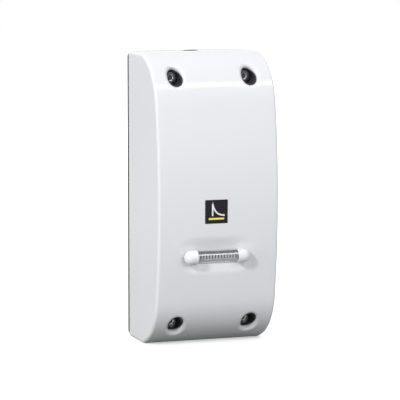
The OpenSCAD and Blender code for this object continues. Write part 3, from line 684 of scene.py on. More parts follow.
def metal(name, colour, rough):
    """Plated or bare metal: drawn streaks, dull patches and small pits."""
    f = Finish(name)
    drawn = f.noise(1.0, 3.0, 0.6, f.mapped((900.0, 900.0, 60.0)))
    patch = f.noise(120.0, 3.0, 0.55)
    pits = f.noise(3200.0, 2.0)
    return f.surface(f.tone(colour, 0.1, patch * 0.6 + drawn * 0.4),
                     rough + (patch - 0.5) * 0.16 + (drawn - 0.5) * 0.08,
                     drawn * 0.7 + pits * 0.3, 0.004, bare=1.0)


def zoned(name, colour, zones, centre=(0, 0), rough=0.35, grain=0.006):
    """A coloured piece with zones of other tints: each zone gives its mask from x across, y up
    and z forward, in mm from the centre, its tint, and whether it is bare metal, as one may be."""
    f = Finish(name)
    x, back, y = f.axes((-centre[0], 0, -centre[1]))
    z = back * -1.0
    fine, slow = f.noise(2200.0, 3.0, 0.6), f.noise(140.0, 3.0, 0.6)
    look, bare = f.tone(colour, 0.06, slow), 0.0
    for where, tint, is_metal in zones:
        mask = where(x, y, z).held()
        look = f.mix(mask, look, f.tone(tint, 0.08, slow))
        if is_metal:
            bare = mask
    return f.surface(look, rough + (slow - 0.5) * 0.1 + (fine - 0.5) * 0.06, fine, grain, bare=bare)


def plate_finish():
    """Dark moulded plate: eroded grain and eight ejector marks, rings 3 mm in radius, 30 mm to
    each side and 23 and 71 mm up and down from the middle."""
    f = Finish("plate_grey")
    x, _, y = f.axes()
    dx, dy = abs(x) - 30.0, abs(abs(y) - 47.0) - 24.0
    mark = (dx * dx + dy * dy).root().band(3.0, 0.12, 0.1)
    grain, slow = f.noise(1400.0, 3.0, 0.6), f.noise(30.0, 2.0)
    return f.surface(f.tone((0.030, 0.028, 0.029), 0.12, slow * 0.6 + grain * 0.4),
                     0.5 + (grain - 0.5) * 0.12 - mark * 0.1, grain * 0.6 - mark, 0.06, 0.25)


def board_lacquer(name, colour, marks=()):
    """Solder lacquer over copper tracks: rows of parallel tracks that step over, ringed vias on
    a grid, a paler tone over the copper, and white print round parts, each mark with its
    middle, width and height. All from object coordinates in mm."""
    f = Finish(name)
    x, _, y = f.axes()
    slow = f.noise(60.0, 2.0)
    cell = f.node("TexNoise", {"Vector": f.mapped((70.0, 70.0, 9.0)), "Scale": 1.0,
                               "Detail": 0.0}, noise_dimensions="2D")
    run = x + (y * 0.16).sin() * 1.6
    tracks = (run % 1.27).band(0.635, 0.14, 0.08) * (cell - 0.45).step(0.0, 0.02)
    gx, gy = (x + 0.5) % 5.08 - 2.54, (y + 0.3) % 5.08 - 2.54
    from_via = (gx * gx + gy * gy).root()
    ring = from_via.band(0.55, 0.16, 0.06)
    copper = (tracks + ring).held()
    fine = f.noise(1800.0, 2.0)
    over = tuple(min(1.0, c * 1.9 + 0.01) for c in colour)
    look = f.mix(copper * 0.85, f.tone(colour, 0.15, slow), over)
    for cx, cy, w, h in marks:
        edge = (abs(x - cx) - w / 2).most(abs(y - cy) - h / 2)
        look = f.mix(edge.band(0.0, 0.09, 0.06) * 0.85, look, (0.75, 0.77, 0.75))
    return f.surface(look, 0.24 + fine * 0.08 - copper * 0.05, copper + fine * 0.12, 0.035, 0.55)


def clear_plastic_with_painted_light():
    """Clear plastic that lets light through: a Fresnel share of gloss over transparency. Painted
    lines of light and shade run along the front of the tube, each at a share of its radius up from
    its middle: dark ones of painted shade, broken at the pitch of the bars as painted reflections
    of them, and pale ones of painted highlight, and a pale ring of painted reflection shows the
    wall's edge at each end."""
    f = Finish("clear_plastic_with_painted_light")
    x, y, z = f.axes((-WINDOW_X, 0, 0))
    up, out = z - WINDOW_Y, y * -1.0 - TUBE_Z
    radius = (up * up + out * out).root()
    share = up / radius
    wall = radius.step(TUBE_R - 0.25, 0.1) * out.step(-0.8, 0.4)
    fine = f.noise(900.0, 2.0)
    uneven = f.noise(380.0, 2.0)
    gloss = f.node("BsdfPrincipled", {"Base Color": (0.92, 0.93, 0.94, 1.0),
                                      "Roughness": 0.05 + fine * 0.05, "Metallic": 1.0})
    through = f.node("BsdfTransparent", {"Color": (0.95, 0.955, 0.96, 1.0)})
    fres = f.node("Fresnel", {"IOR": 1.49})
    both = f.node("MixShader", {0: (fres * 0.7).held(), 1: through, 2: gloss})
    # Painted light on the tube: dark lines of painted shade and pale lines of painted highlight,
    # each given as (share up the radius, half width, weight)
    painted_light_lines = [((0.10, 0.102, 0.108), [(0.72, 0.17, 0.86), (-0.84, 0.035, 0.6)]),
             ((0.86, 0.86, 0.87), [(0.44, 0.055, 0.95), (-0.73, 0.045, 0.6), (-0.96, 0.08, 1.0)])]
    # Breaks in the dark painted lines at the bars' pitch, as painted reflections of the bars
    bars = (x / BAR_PITCH % 1.0).band(0.5, 0.3, 0.25) * 0.45 + 0.55
    for colour, lines in painted_light_lines:
        mask = None
        for centre, half, weight in lines:
            one = share.band(centre, half, 0.03) * (weight * 0.9 + uneven * weight * 0.2)
            one = one * bars if colour[0] < 0.5 else one
            mask = one if mask is None else mask.most(one)
        if colour[0] > 0.5:
            # Pale painted reflection ring where the tube's wall meets each cap, stronger at the
            # right
            mask = mask.most(x.band(CLEAR_L / 2, 0.85, 0.15))
            mask = mask.most(x.band(-CLEAR_L / 2, 0.45, 0.15) * 0.7)
        # Shader for the painted lines of light and shade, mixed over the clear plastic
        painted_light_shader = f.node("BsdfPrincipled", {"Base Color": (*colour, 1.0),
                                          "Roughness": 0.25 + fine * 0.1})
        both = f.node("MixShader", {0: (mask * wall).held(), 1: both, 2: painted_light_shader})
    f.node("OutputMaterial", {"Surface": both})
    return f.material


def icon_print():
    """A black plate printed with a generic sign: a white surge, which rises straight up at x0
    and dies away as height * q ^ (x - x0), over a yellow base line. x and y are in mm from the
    plate's middle, and the distance to the curve is |y - f| / sqrt(1 + slope^2), where the
    slope is f * -ln q, and -ln 0.62 is 0.478."""
    f = Finish("icon_print")
    x, _, z = f.axes((-WINDOW_X, 0, -ICON_Y))
    past = x + 2.6
    fall = f.node("Math", {0: 0.62, 1: past}, operation="POWER")
    curve = fall * 7.6 - 2.6
    slope = fall * 7.6 * 0.478
    off = abs(z - curve) / (slope * slope + 1.0).root()
    tail = (0.5 - off) / 0.12 + 0.5
    tail = tail.held() * past.step(0.0, 0.1) * (5.6 - x).step(0.0, 0.1)
    rise = past.band(0.0, 0.5, 0.12) * (z + 0.05).band(1.2, 3.9, 0.12)
    white = tail.most(rise)
    yellow = (z + 4.6).band(0.0, 0.62, 0.12) * x.band(0.0, 5.2, 0.12)
    fine = f.noise(2400.0, 2.0)
    slow = f.noise(90.0, 2.0)
    ground = f.tone((0.016, 0.014, 0.017), 0.2, slow)
    colour = f.mix(yellow, f.mix(white, ground, (0.86, 0.85, 0.88)), (0.88, 0.80, 0.16))
    ink = white.most(yellow)
    return f.surface(colour, 0.5 - ink * 0.08 + fine * 0.06, ink + fine * 0.2, 0.02, 0.18)


# ---------------------------------------------------------------- camera and studio

def camera():
    """The camera that was fitted to the case's outline, looking against CAMERA_BACK."""
    data = bpy.data.cameras.new("camera")
    data.lens, data.sensor_width, data.sensor_fit = LENS_MM, SENSOR_MM, "HORIZONTAL"
    data.clip_start, data.clip_end = 0.1, 50.0
    cam = new_object("camera", data)
    cam.rotation_mode = "QUATERNION"
    cam.location = CAMERA_PLACE
    cam.rotation_quaternion = (-Vector(CAMERA_BACK)).to_track_quat("-Z", "Y")
    bpy.context.scene.camera = cam


def lamp(name, place_at, aim, size, power, colour, gloss, body):
    """A rectangular soft box of (width, height) at a place, turned to aim. gloss and body say
    whether it shows in reflections and whether it lights."""
    data = bpy.data.lights.new(name, "AREA")
    data.shape, data.size, data.size_y = "RECTANGLE", *size
    data.energy, data.color = power, colour
    obj = new_object(name, data)
    obj.visible_glossy, obj.visible_diffuse = gloss, body
    obj.location = place_at
    obj.rotation_mode = "QUATERNION"
    obj.rotation_quaternion = (Vector(place_at) - Vector(aim)).to_track_quat("Z", "Y")


def seen_directly(f, gloss=1.0):
    """1 for rays that show the background, camera and transmission rays, and gloss for
    reflected ones."""
    seen, reflected, through = f.outputs(
        "LightPath", ("Is Camera Ray", "Is Glossy Ray", "Is Transmission Ray"))
    return seen.most(reflected * gloss).most(through)


def studio():
    """A white background that lights the part with AMBIENT, a paper floor that glows white where
    it is seen and bounces little light, and the lamps."""
    bpy.context.scene.world = bpy.data.worlds.new("studio")
    f = Finish("studio", bpy.context.scene.world)
    direct = seen_directly(f)
    shown = f.node("Background", {"Color": (1, 1, 1, 1), "Strength": 1.0})
    light = f.node("Background", {"Color": (*AMBIENT, 1), "Strength": AMBIENT_POWER})
    f.node("OutputWorld", {"Surface": f.node("MixShader", {0: direct, 1: light, 2: shown})})

    me = bpy.data.meshes.new("floor")
    me.from_pydata([(x, y, -HALF_H * MM) for x, y in ((-4, -4), (4, -4), (4, 4), (-4, 4))],
                   [], [[0, 1, 2, 3]])
    floor = new_object("floor", me)
    f = Finish("floor_paper")
    direct = seen_directly(f, 0.35)
    x, y = f.outputs("SeparateXYZ", (0, 1), {0: f.place})
    far = (x * x + y * y).root().step(0.45, 0.5)
    body = f.node("BsdfDiffuse", {"Color": f.mix(direct, FLOOR_BOUNCE, (0.86, 0.86, 0.86))})
    glow = f.node("Emission", {"Color": (1, 1, 1, 1),
                               "Strength": direct * (FLOOR_GLOW + far * (1 - FLOOR_GLOW))})
    f.node("OutputMaterial", {"Surface": f.node("AddShader", {0: body, 1: glow})})
    me.materials.append(f.material)
    for name, values in LAMPS.items():
        lamp(name, *values)


AMBIENT, AMBIENT_POWER = (0.97, 0.98, 1.0), 0.58
FLOOR_BOUNCE, FLOOR_GLOW = (0.15, 0.16, 0.15), 0.45
LAMPS = {
    "key": ((-1.13, -0.99, 0.79), (0, 0, 0), (0.22, 0.22), 11.0, (1, 1, 1), False, True),
    "strip": ((0.25, -0.75, 0.903), (0, 0, 0.03), (1.6, 0.075), 3.9, (1, 1, 1), True, False),
    "back": ((0.0, 0.7, 1.2), (0, 0, 0), (1.4, 0.8), 4.8, (1, 1, 0.99), False, True),
    "front": ((0.3, -1.6, 0.5), (0, 0, 0), (1.2, 1.2), 9.5, (1, 0.995, 1.01), False, True),
    "left": ((-1.4, -0.25, 0.16), (0, 0, 0), (1.0, 0.5), 5.6, (1, 1, 0.99), False, True),
}


# ---------------------------------------------------------------- pieces

SHARP_ANGLE = math.radians(32.0)


def piece(name, shape, material, *stands_for, body="cover", slot=None):
    """A finished piece: shaded smooth up to the sharp angle, given its finish, and put on its
    body, in place of CAD nodes. The slot is not used."""
    mesh = as_mesh(shape)
    mesh.shade_smooth()
    mesh.set_sharp_from_angle(angle=SHARP_ANGLE)
    mesh.materials.clear()
    mesh.materials.append(material)
    obj = new_object(name, mesh)
    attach(obj, body)
    if stands_for:
        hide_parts(*stands_for)
    return obj


# ---------------------------------------------------------------- outer pieces

def bush_shape(cx, cy):
    """A rubber bush in a pocket. Its rings run from the floor's hole out under the floor, up the
    pocket's wall to a lip that follows the rolled rim, over the lip and down inside: each has
    a radius and either a fixed height or a height below the rim at the ring's angle."""
    n = 72
    a = np.arange(n) / n * TAU
    outer, inner = POCKET_R - 0.05, POCKET_R - 0.75
    rim = pocket_rim(cy, 0.0, a, POCKET_R)
    rings = [(2.8, SEAT_Z, 0), (outer - 0.3, SEAT_Z, 0), (outer, SEAT_Z + 0.3, 0), (outer, 0.45, 1)]
    rings += [(outer - 0.35 + 0.35 * math.cos(t), 0.45 - 0.35 * math.sin(t), 1)
              for t in np.radians((30, 60, 90))]
    rings += [(inner + 0.35 - 0.35 * math.cos(t), 0.45 - 0.35 * math.sin(t), 1)
              for t in np.radians((90, 60, 30, 0))]
    rings += [(inner, WASHER_Z + 0.4, 0), (inner - 0.4, WASHER_Z, 0), (3.1, WASHER_Z, 0),
              (2.8, WASHER_Z - 0.3, 0)]
    p = []
    for r, h, follows in rings:
        z = rim - h if follows else np.full(n, h)
        p.append(np.stack([cx + r * np.cos(a), cy + r * np.sin(a), z], 1))
    return Shape().grid(np.stack(p), wrap_u=True, wrap_v=True)


def thread_rings(d, pitch, low, high, depth=0.6):
    """Eight rings a turn of a thread: at the height z and angle a the radius is the outer one
    less the depth times a clipped triangle wave of z / pitch - a / 2 pi. It fades out over the
    first and the last turn."""
    count = int(round((high - low) / pitch * 8))
    heights = np.linspace(low, high, count + 1)

    def radius(a, z):
        phase = np.abs(((z / pitch - a / TAU) % 1.0) * 2 - 1)
        groove = np.clip((phase - 0.12) / 0.66, 0, 1)
        fade = np.clip((z - low) / pitch, 0, 1) * np.clip((high - z) / pitch, 0, 1)
        return d / 2 - depth * pitch * groove * fade
    return [(radius, z) for z in heights]


def socket_screw(origin, d, length, head_d, head_h, pitch):
    """A socket head cap screw, from the tip up: chamfer, thread, neck, knurled head, chamfer and
    a hexagonal socket. A hexagon of half width h has the radius h / cos((a mod 60) - 30)."""
    half_hex = head_d * 0.47 / 2
    edge = 0.09 * head_h
    knurled = ripple(head_d / 2, 0.08, 36)

    def hexagon(a, z):
        return half_hex / np.cos(np.mod(a, TAU / 6) - TAU / 12)

    def entry(a, z):
        return np.maximum(hexagon(a, z), half_hex * 1.12)

    core = d / 2 - 0.55 * pitch
    rings = [(0, -length), (core * 0.6, -length), (core, -length + 0.25 * pitch),
             (core + 0.1, -length + 0.4 * pitch)]
    rings += thread_rings(d, pitch, -length + 0.6 * pitch, -0.12 * length)
    rings += [(d / 2, -0.3), (d / 2 + 0.05, -0.02), (head_d / 2 - 0.35, 0),
              (head_d / 2 - 0.1, 0.12), (knurled, 0.35), (knurled, head_h * 0.5),
              (knurled, head_h - 2.2 * edge), (head_d / 2 - 0.1, head_h - 1.9 * edge)]
    rings += [(head_d / 2 - 0.1 - edge * 1.6 * (1 - math.cos(t)),
               head_h - 1.9 * edge + 1.9 * edge * math.sin(t))
              for t in np.radians((22, 45, 68, 90))]
    rings += [(entry, head_h), (hexagon, head_h - 0.25), (hexagon, head_h * 0.5),
              (half_hex * 0.9, head_h * 0.5 - 0.05), (0, head_h * 0.5 - half_hex * 0.4)]
    return lathe(rings, origin, n=72)


def washer_shape(x, y):
    """A sealing washer: a flat steel ring with rounded edges, and a rubber lip inside it."""
    ring = [(2.58, 0.25), (2.75, 0.08), (3.3, 0.12), (3.45, 0.0), (4.1, 0.0), (4.27, 0.12),
            (4.3, 0.3), (4.3, 0.7), (4.27, 0.88), (4.1, 1.0), (3.45, 1.0), (3.3, 0.88),
            (2.75, 0.92), (2.58, 0.75)]
    return lathe(ring, (x, y, WASHER_Z), n=64)


def cap_mesh(side):
    """A domed end cap: quarter circle of radius 4.55 mm run out to a small flat, a parting step
    where the tube goes in, and a hollow foot that goes through the cover."""
    r, dome = CAP_R, 4.55
    profile = [(TUBE_R + 0.05, 0.12), (TUBE_R + 0.17, 0.0), (r - 0.12, 0.0), (r, 0.12),
               (r, CAP_L - dome)]
    profile += [(r - dome + dome * math.cos(t), CAP_L - dome + dome * math.sin(t))
                for t in np.radians(np.linspace(6, 90, 15))]
    inside = [(0, CAP_L / 2 + 1.1), (3.2, CAP_L / 2 + 1.1), (3.2, 2.0), (TUBE_R + 0.05, 2.0)]
    p = revolve(inside + profile + [(0, CAP_L)], (0, 0, 0), n=64)[..., [2, 1, 0]]
    cap = Shape().grid(p * np.array([side, 1, 1]) + np.array(
        [WINDOW_X + side * CLEAR_L / 2, WINDOW_Y, TUBE_Z]), wrap_u=True)
    foot = [(0, PAD_BACK - 3), (1.9, PAD_BACK - 3), (2.2, PAD_BACK - 2.7), (2.2, TUBE_Z - 3.6),
            (0, TUBE_Z - 3.6)]
    here = [FEET[0 if side < 0 else 1]]
    return less(plus(cap, *lathes(foot, here, 40)),
                *rods(0.85, PAD_BACK - 4, TUBE_Z - 1, here, 24))


def tube_shape():
    """The clear tube: outer and inner walls joined by rounded ends."""
    h, r, t = CLEAR_L / 2 + 1.95, TUBE_R, 0.7
    ring = [(r, -h + 0.2), (r, h - 0.2), (r - 0.2, h), (r - t + 0.2, h), (r - t, h - 0.2),
            (r - t, -h + 0.2), (r - t + 0.2, -h), (r - 0.2, -h)]
    p = revolve(ring, (0, 0, 0), n=96)[..., [2, 1, 0]]
    return Shape().grid(p + np.array([WINDOW_X, WINDOW_Y, TUBE_Z]), wrap_u=True, wrap_v=True)


def indicator_places():
    return WINDOW_X + (np.arange(BAR_COUNT) - (BAR_COUNT - 1) / 2) * BAR_PITCH


def indicator_board_mesh():
    """The strip board with a row of small chip parts under the light bars."""
    top = STRIP_FRONT
    strip = pillow(32.2, 6.3, 0.3, top - 0.8, top, 0.08, (WINDOW_X, WINDOW_Y))
    chips = [pillow(1.0, 0.75, 0.1, top, top + 0.35, 0.08, (x, WINDOW_Y - CHIP_DROP), n=2, k=2)
             for x in indicator_places()]
    return merged(strip, joined(*chips))


def reflector_mesh():
    """The white light guide over the strip board, with a bevelled slot for each bar."""
    low, high = STRIP_FRONT, TUBE_Z
    body = pillow(28.0, 4.2, 0.3, low, high, 0.1, (WINDOW_X, WINDOW_Y))
    rings = ((low - 1, 0), (high - 0.25, 0), (high + 0.05, 0.16), (high + 1, 0.16))
    return less(body, *[loft([level(rounded_rect(0.9 + grow, 2.8 + grow, 0.12, 2), z, (x, WINDOW_Y))
                              for z, grow in rings]) for x in indicator_places()])


def bars_shape():
    """The light bars, each a smoked lens with rounded edges."""
    low, high = STRIP_FRONT, TUBE_Z - 0.2
    return joined(*[pillow(0.88, 2.78, 0.12, low, high, 0.1, (x, WINDOW_Y), n=2, k=2)
                    for x in indicator_places()])


def icon_shape():
    """A thin square plate on the front's curve: rows of points at the height of the skin, raised
    by up to 0.25 mm along a quarter circle at the border."""
    rows = []
    for inset, rise in ((0, -0.1), (0, 0.1), (0.04, 0.17), (0.12, 0.23), (0.3, 0.25)):
        o = rounded_rect(ICON_W - 2 * inset, ICON_W - 2 * inset, 0.6 - inset * 0.5, 6)
        o = o + np.array([WINDOW_X, ICON_Y])
        rows.append(np.column_stack([o, skin(o[:, 1])[0] + rise]))
    return loft(rows)


# ---------------------------------------------------------------- base

def ring_sweep(profile):
    """A closed ring that follows the case seen from the front; the profile's points are
    (distance in from the case's sides, height)."""
    return loft([level(rounded_rect(CASE_W - 2 * inset, CASE_H - 2 * inset,
                                    max(3 - inset, 0.5), 8), z)
                 for inset, z in profile], wrap=True)


def plate_mesh():
    """Back plate: slab with rounded edges, locating rib with gaps at the notches, screw bosses
    and conductor saddles, less the gasket groove, insert holes and the conductor's bore."""
    slab = pillow(CASE_W, CASE_H, 4, 0, PLATE_T, 0.35, n=8)
    rib = ring_sweep([(3.05, 2.5), (3.05, 5.8), (3.4, 6.2), (4.3, 6.2), (4.65, 5.8), (4.65, 2.5)])
    rib = less(rib, *[box(0, s * HALF_H, PLATE_T, 24.3, 11, 4) for s in (1, -1)])
    boss = [(0, 1), (6.4, 1), (6.4, PLATE_T), (5.7, PLATE_T + 0.7), (5.5, PLATE_T + 1.4),
            (5.5, BOSS_TOP - 0.4), (5.1, BOSS_TOP), (0, BOSS_TOP)]
    saddles = [pillow(36, CLAMP_W, 0.8, 1, SADDLE_TOP, 0.4, (0, s * CLAMP_Y)) for s in (1, -1)]
    solid = plus(slab, rib, joined(*lathes(boss, SCREWS)), joined(*saddles))
    groove = ring_sweep([(0.6, 2.3), (2.2, 2.3), (2.2, 4.0), (0.6, 4.0)])
    bore = lathe([(0, -96), (4, -96), (4, 96), (0, 96)], (0, 0, CONDUCTOR_Z), "y", 48)
    return less(less(solid, groove), *rods(3.5, 6, 17, SCREWS), *rods(2.9, 1.4, 9, CLAMPS, 40),
                bore)


def insert_shape(x, y, top, d, length, bore, pitch):
    """A brass insert: two knurled bands with opposite twist, a waist, and a threaded bore."""
    band, waist = 0.28 * length, d / 2 - 0.4
    left, right = ripple(d / 2, 0.14, 30, 0.5), ripple(d / 2, 0.14, 30, -0.5)
    low = -length
    rings = [(bore / 2 + 0.25, low), (d / 2 - 0.25, low), (left, low + 0.2),
             (left, low + band / 2), (left, low + band - 0.15), (waist, low + band),
             (waist, -band), (right, -band + 0.15), (right, -band / 2), (right, -0.2),
             (d / 2 - 0.25, 0), (bore / 2 + 0.25, 0)]
    rings += thread_rings(bore, pitch, low + 0.3, -0.3, depth=-0.5)[::-1]
    return lathe(rings, (x, y, top), n=60)


def seal_mesh(side):
    """An entry seal: a plug in the notch with a flange inside the wall, lips in its bore."""
    def view(grow, y):
        return level(notch_outline(grow, PLATE_T, 24), side * y)[:, [0, 2, 1]]
    body = loft([view(*row) for row in (
        (-0.4, 95.0), (-0.05, 94.65), (-0.05, 92.15), (2.1, 92.15), (2.4, 91.85), (2.4, 90.25),
        (2.1, 89.95))])
    bore = [(0, 97), (4.4, 97), (4.4, 94.9), (4.05, 94.4)]
    for y in (94.0, 92.9, 91.8, 90.7):
        bore += [(4.05, y + 0.2), (4.3, y), (4.3, y - 0.35), (4.05, y - 0.55)]
    bore += [(4.05, 89.9), (4.4, 89.4), (4.4, 88), (0, 88)]
    tool = lathe([(r, side * y) for r, y in bore], (0, 0, CONDUCTOR_Z), "y", 48)
    return less(body, tool)


def strap_mesh(side):
    """A pressed conductor strap: flat feet and a hump, x against z, with rolled edges."""
    r, low, top = 7.0, STRAP_LOW, STRAP_TOP
    start = math.degrees(math.asin((low - CONDUCTOR_Z) / 4))
    inner = arc(0, CONDUCTOR_Z, 4, 180 - start, start, 24)
    f = 1.6
    cz = top + f
    cx = math.sqrt((r + f) ** 2 - (cz - CONDUCTOR_Z) ** 2)
    meet = math.degrees(math.atan2(cz - CONDUCTOR_Z, cx))
    right = arc(cx, cz, f, 270, 180 + meet, 5)
    over = arc(0, CONDUCTOR_Z, r, meet, 180 - meet, 24)[1:-1]
    left = arc(-cx, cz, f, -meet, -90, 5)
    o = np.concatenate([[[-18, low]], inner, [[18, low], [18, top]], right, over, left,
                        [[-18, top]]])
    y, half = side * CLAMP_Y, CLAMP_W / 2
    body = eased(prism(o, y - half, y + half, "y"), 0.4, 2, 50)
    return less(body, *lathes([(0, 7), (2.3, 7), (2.3, 11.3), (2.6, 11.7), (2.6, 13), (0, 13)],
                              [(-CLAMP_X, y), (CLAMP_X, y)], 32))


# ---------------------------------------------------------------- indicator's inner pieces

def clips_mesh():
    """Two push-on clips: a dished ring with six slots round a hole that grips the foot."""
    out = []
    tooth = rounded_rect(1.5, 0.36, 0.15, 2) + np.array([2.65, 0])
    for x, _ in FEET:
        ring = lathe([(2.2, -0.6), (3.4, -0.42), (4.35, -0.3), (4.5, -0.2), (4.4, 0),
                      (3.4, -0.05), (2.2, -0.35)], (x, WINDOW_Y, PAD_BACK), n=60)
        slots = []
        for k in range(6):
            slots.append(prism(spun(tooth, k * TAU / 6 + 0.2) + np.array([x, WINDOW_Y]),
                               PAD_BACK - 2, PAD_BACK + 1))
        out.append(less(ring, *slots))
    return merged(*out)


def lead_shape():
    """Two insulated wires, each a helix of radius 0.4 mm and pitch 7 mm, from socket to strip."""
    low, high = BOARD_FRONT + 5, TUBE_Z - 1.7
    z = np.linspace(low, high, 90)
    wires = []
    for k in (0, 1):
        a = (z - low) / 7 * TAU + k * math.pi
        path = np.stack([WINDOW_X - FOOT_X + 0.4 * np.cos(a), WINDOW_Y + 0.4 * np.sin(a), z], 1)
        wires.append(tube_along(path, 0.38, 10))
    return joined(*wires)


def socket_mesh():
    """The lead's socket: a shell with a plug in it, side windows and a polarising rib."""
    (x, y), z = FEET[0], BOARD_FRONT
    shell = less(box(x, y, z, 7, 6, 5), box(x, y, z + 1.2, 5.8, 4.6, 6),
                 box(x - 2, y - 3, z + 2, 0.9, 2, 4), box(x + 2, y - 3, z + 2, 0.9, 2, 4),
                 box(x, y + 3, z + 2.6, 2.4, 2, 4))
    plug = less(box(x, y, z + 1.3, 5.6, 4.4, 3.6), *rods(0.85, z + 3, z + 6, [(x, y)], 20))
    return merged(eased(shell, 0.15), eased(plug, 0.15))


# ---------------------------------------------------------------- main board

BOARD_W, BOARD_H = 71.0, 134.0


def on_board(u, v):
    return BOARD_W * u, BOARD_H * v


CAPACITORS, CAPACITOR_DY = on_board(-0.3, 0.27), 7.25
ARRESTERS, RESISTORS = on_board(-0.3, 0.06), on_board(0.02, 0.27)


def board_mesh():
    slab = pillow(BOARD_W, BOARD_H, 2, BOARD_BACK, BOARD_FRONT, 0.1, n=6, k=2)
    return less(slab, *rods(1.55, BOARD_BACK - 1, BOARD_FRONT + 1.4, POSTS, 32))


def board_screw_mesh(x, y):
    """A pan head screw from behind the board: domed head with a cross recess, and a thread."""
    top = BOARD_BACK - 2
    rings = [(0, top), (1.2, top + 0.03), (2.0, top + 0.2), (2.5, top + 0.65), (2.7, top + 1.2),
             (2.7, BOARD_BACK - 0.1), (2.6, BOARD_BACK), (1.3, BOARD_BACK)]
    rings += thread_rings(2.5, 0.9, BOARD_BACK + 0.1, BOARD_BACK + 6.2, depth=0.35)
    rings += [(0.9, BOARD_BACK + 6.4), (0.35, BOARD_BACK + 7), (0, BOARD_BACK + 7)]
    body = lathe(rings, (x, y, 0), n=40)
    cross = [loft([level(rounded_rect(w * g, h * g, 0.1 * g, 2), z, (x, y))
                   for g, z in ((1.1, top - 0.5), (1, top), (0.55, top + 1.3))])
             for w, h in ((2.6, 0.55), (0.55, 2.6))]
    return less(body, *cross)


def chip_mesh():
    """The processor's moulded body: two bevelled halves meeting at a parting line, a dimple at
    its first pin, and 44 gull-wing leads: out, down through two bends, and out again."""
    px, py = on_board(-0.11, -0.075)
    z0, z1 = BOARD_FRONT + 0.18, BOARD_FRONT + 1.4
    mid = (z0 + z1) / 2
    rings = [(11.5, z0), (12.0, mid - 0.05), (12.0, mid + 0.05), (11.5, z1)]
    body = loft([level(rounded_rect(w, w, 0.25, 3), z, (px, py)) for w, z in rings])
    dot = lathe([(0, -0.12), (0.45, -0.12), (0.55, 1), (0, 1)], (px - 4.6, py + 4.6, z1), n=24)
    t = 0.14
    mids = np.array([[5.8, mid], [6.3, mid], [6.45, mid - 0.12], [6.62, BOARD_FRONT + 0.2],
                     [6.8, BOARD_FRONT + 0.08], [7.1, BOARD_FRONT + 0.08]])
    lift = np.array([[0, 1], [0, 1], [0.8, 0.6], [0.8, 0.6], [0.2, 1], [0, 1]]) * t / 2
    outline = np.concatenate([mids + lift, (mids - lift)[::-1]])
    leads = []
    outline[:, 1] = np.maximum(outline[:, 1], BOARD_FRONT)
    for side in range(4):
        for i in range(11):
            u = (i - 5) * 12 * 0.9 / 11
            ends = [spun(np.column_stack([np.full(12, u + e), outline]), side * TAU / 4)
                    for e in (-0.2, 0.2)]
            leads.append(loft([q + np.array([px, py, 0]) for q in ends]))
    return less(body, dot), joined(*leads)


def radio_meshes():
    """The wireless module: its own small board with half holes along the sides, and a can."""
    px, py = on_board(0.25, 0.17)
    z = BOARD_FRONT
    holes = [(px + sx * 8, py - 11 + 1.27 * 1.2 * k) for sx in (-1, 1) for k in range(12)]
    card = less(pillow(16, 25, 0.4, z, z + 0.8, 0.06, (px, py), k=2),
                *rods(0.4, z - 1, z + 2, holes, 12))
    can = pillow(13.5, 16, 0.7, z + 0.8, z + 2.8, 0.25, (px, py - 3.6), n=4, k=3)
    return card, can


def capacitor_mesh(y):
    """A storage capacitor: sleeve with a rolled bead near its foot, curled edge at the top, and
    a vent cross pressed into its end."""
    px, py = CAPACITORS
    z, h, r = BOARD_FRONT, 18.0, 6.25
    ring = [(0, 0), (r - 0.35, 0), (r - 0.05, 0.2), (r, 0.6), (r, 1.7), (r - 0.3, 2.05),
            (r - 0.5, 2.4), (r - 0.3, 2.75), (r, 3.1), (r, h - 0.9), (r - 0.1, h - 0.4),
            (r - 0.4, h - 0.08), (r - 0.8, h), (r - 1.15, h - 0.15), (r - 1.3, h - 0.35),
            (0, h - 0.35)]
    can = lathe(ring, (px, py + y, z), n=72)
    cross = [box(px, py + y, z + h - 0.5, w, d, 1, 0.1) for w, d in ((8, 0.4), (0.4, 8))]
    return less(can, *cross)


def arrester_shape(y):
    """A surge arrester: a ceramic barrel between two flanged metal ends, lying along x."""
    px, py = ARRESTERS
    ring = [(0, -4), (3.6, -4), (3.95, -3.85), (4, -3.6), (4, -3.15), (3.85, -3), (3.4, -2.95),
            (3.5, -2.6), (3.5, 2.6), (3.4, 2.95), (3.85, 3), (4, 3.15), (4, 3.6), (3.95, 3.85),
            (3.6, 4), (0, 4)]
    return lathe(ring, (px, py + y, BOARD_FRONT + 4), "x", 48)


def resistor_shape(y):
    """A burden resistor: a body swollen at both ends on two bent wires that go to the board."""
    px, py = RESISTORS
    x = np.linspace(-3.7, 3.7, 25)
    swell = 1.45 + 0.22 / (1 + np.exp((2.2 - np.abs(x)) * 4))
    swell = swell - 0.9 * np.clip(np.abs(x) - 3.1, 0, 1) ** 2 * 1.4
    ring = [(0, -3.7)] + [(r, v) for r, v in zip(swell, x)] + [(0, 3.7)]
    out = [lathe(ring, (px, py + y, BOARD_FRONT + 1.7), "x", 36)]
    for s in (-1, 1):
        bend = arc(3.75, 1.15, 0.5, 90, 0, 5)
        path = np.concatenate([[[3.4, 1.65]], bend, [[4.25, 0.02]]])
        path = np.stack([px + s * path[:, 0], np.full(len(path), py + y),
                         BOARD_FRONT + path[:, 1]], 1)
        out.append(tube_along(path, 0.24, 8))
    return joined(*out)


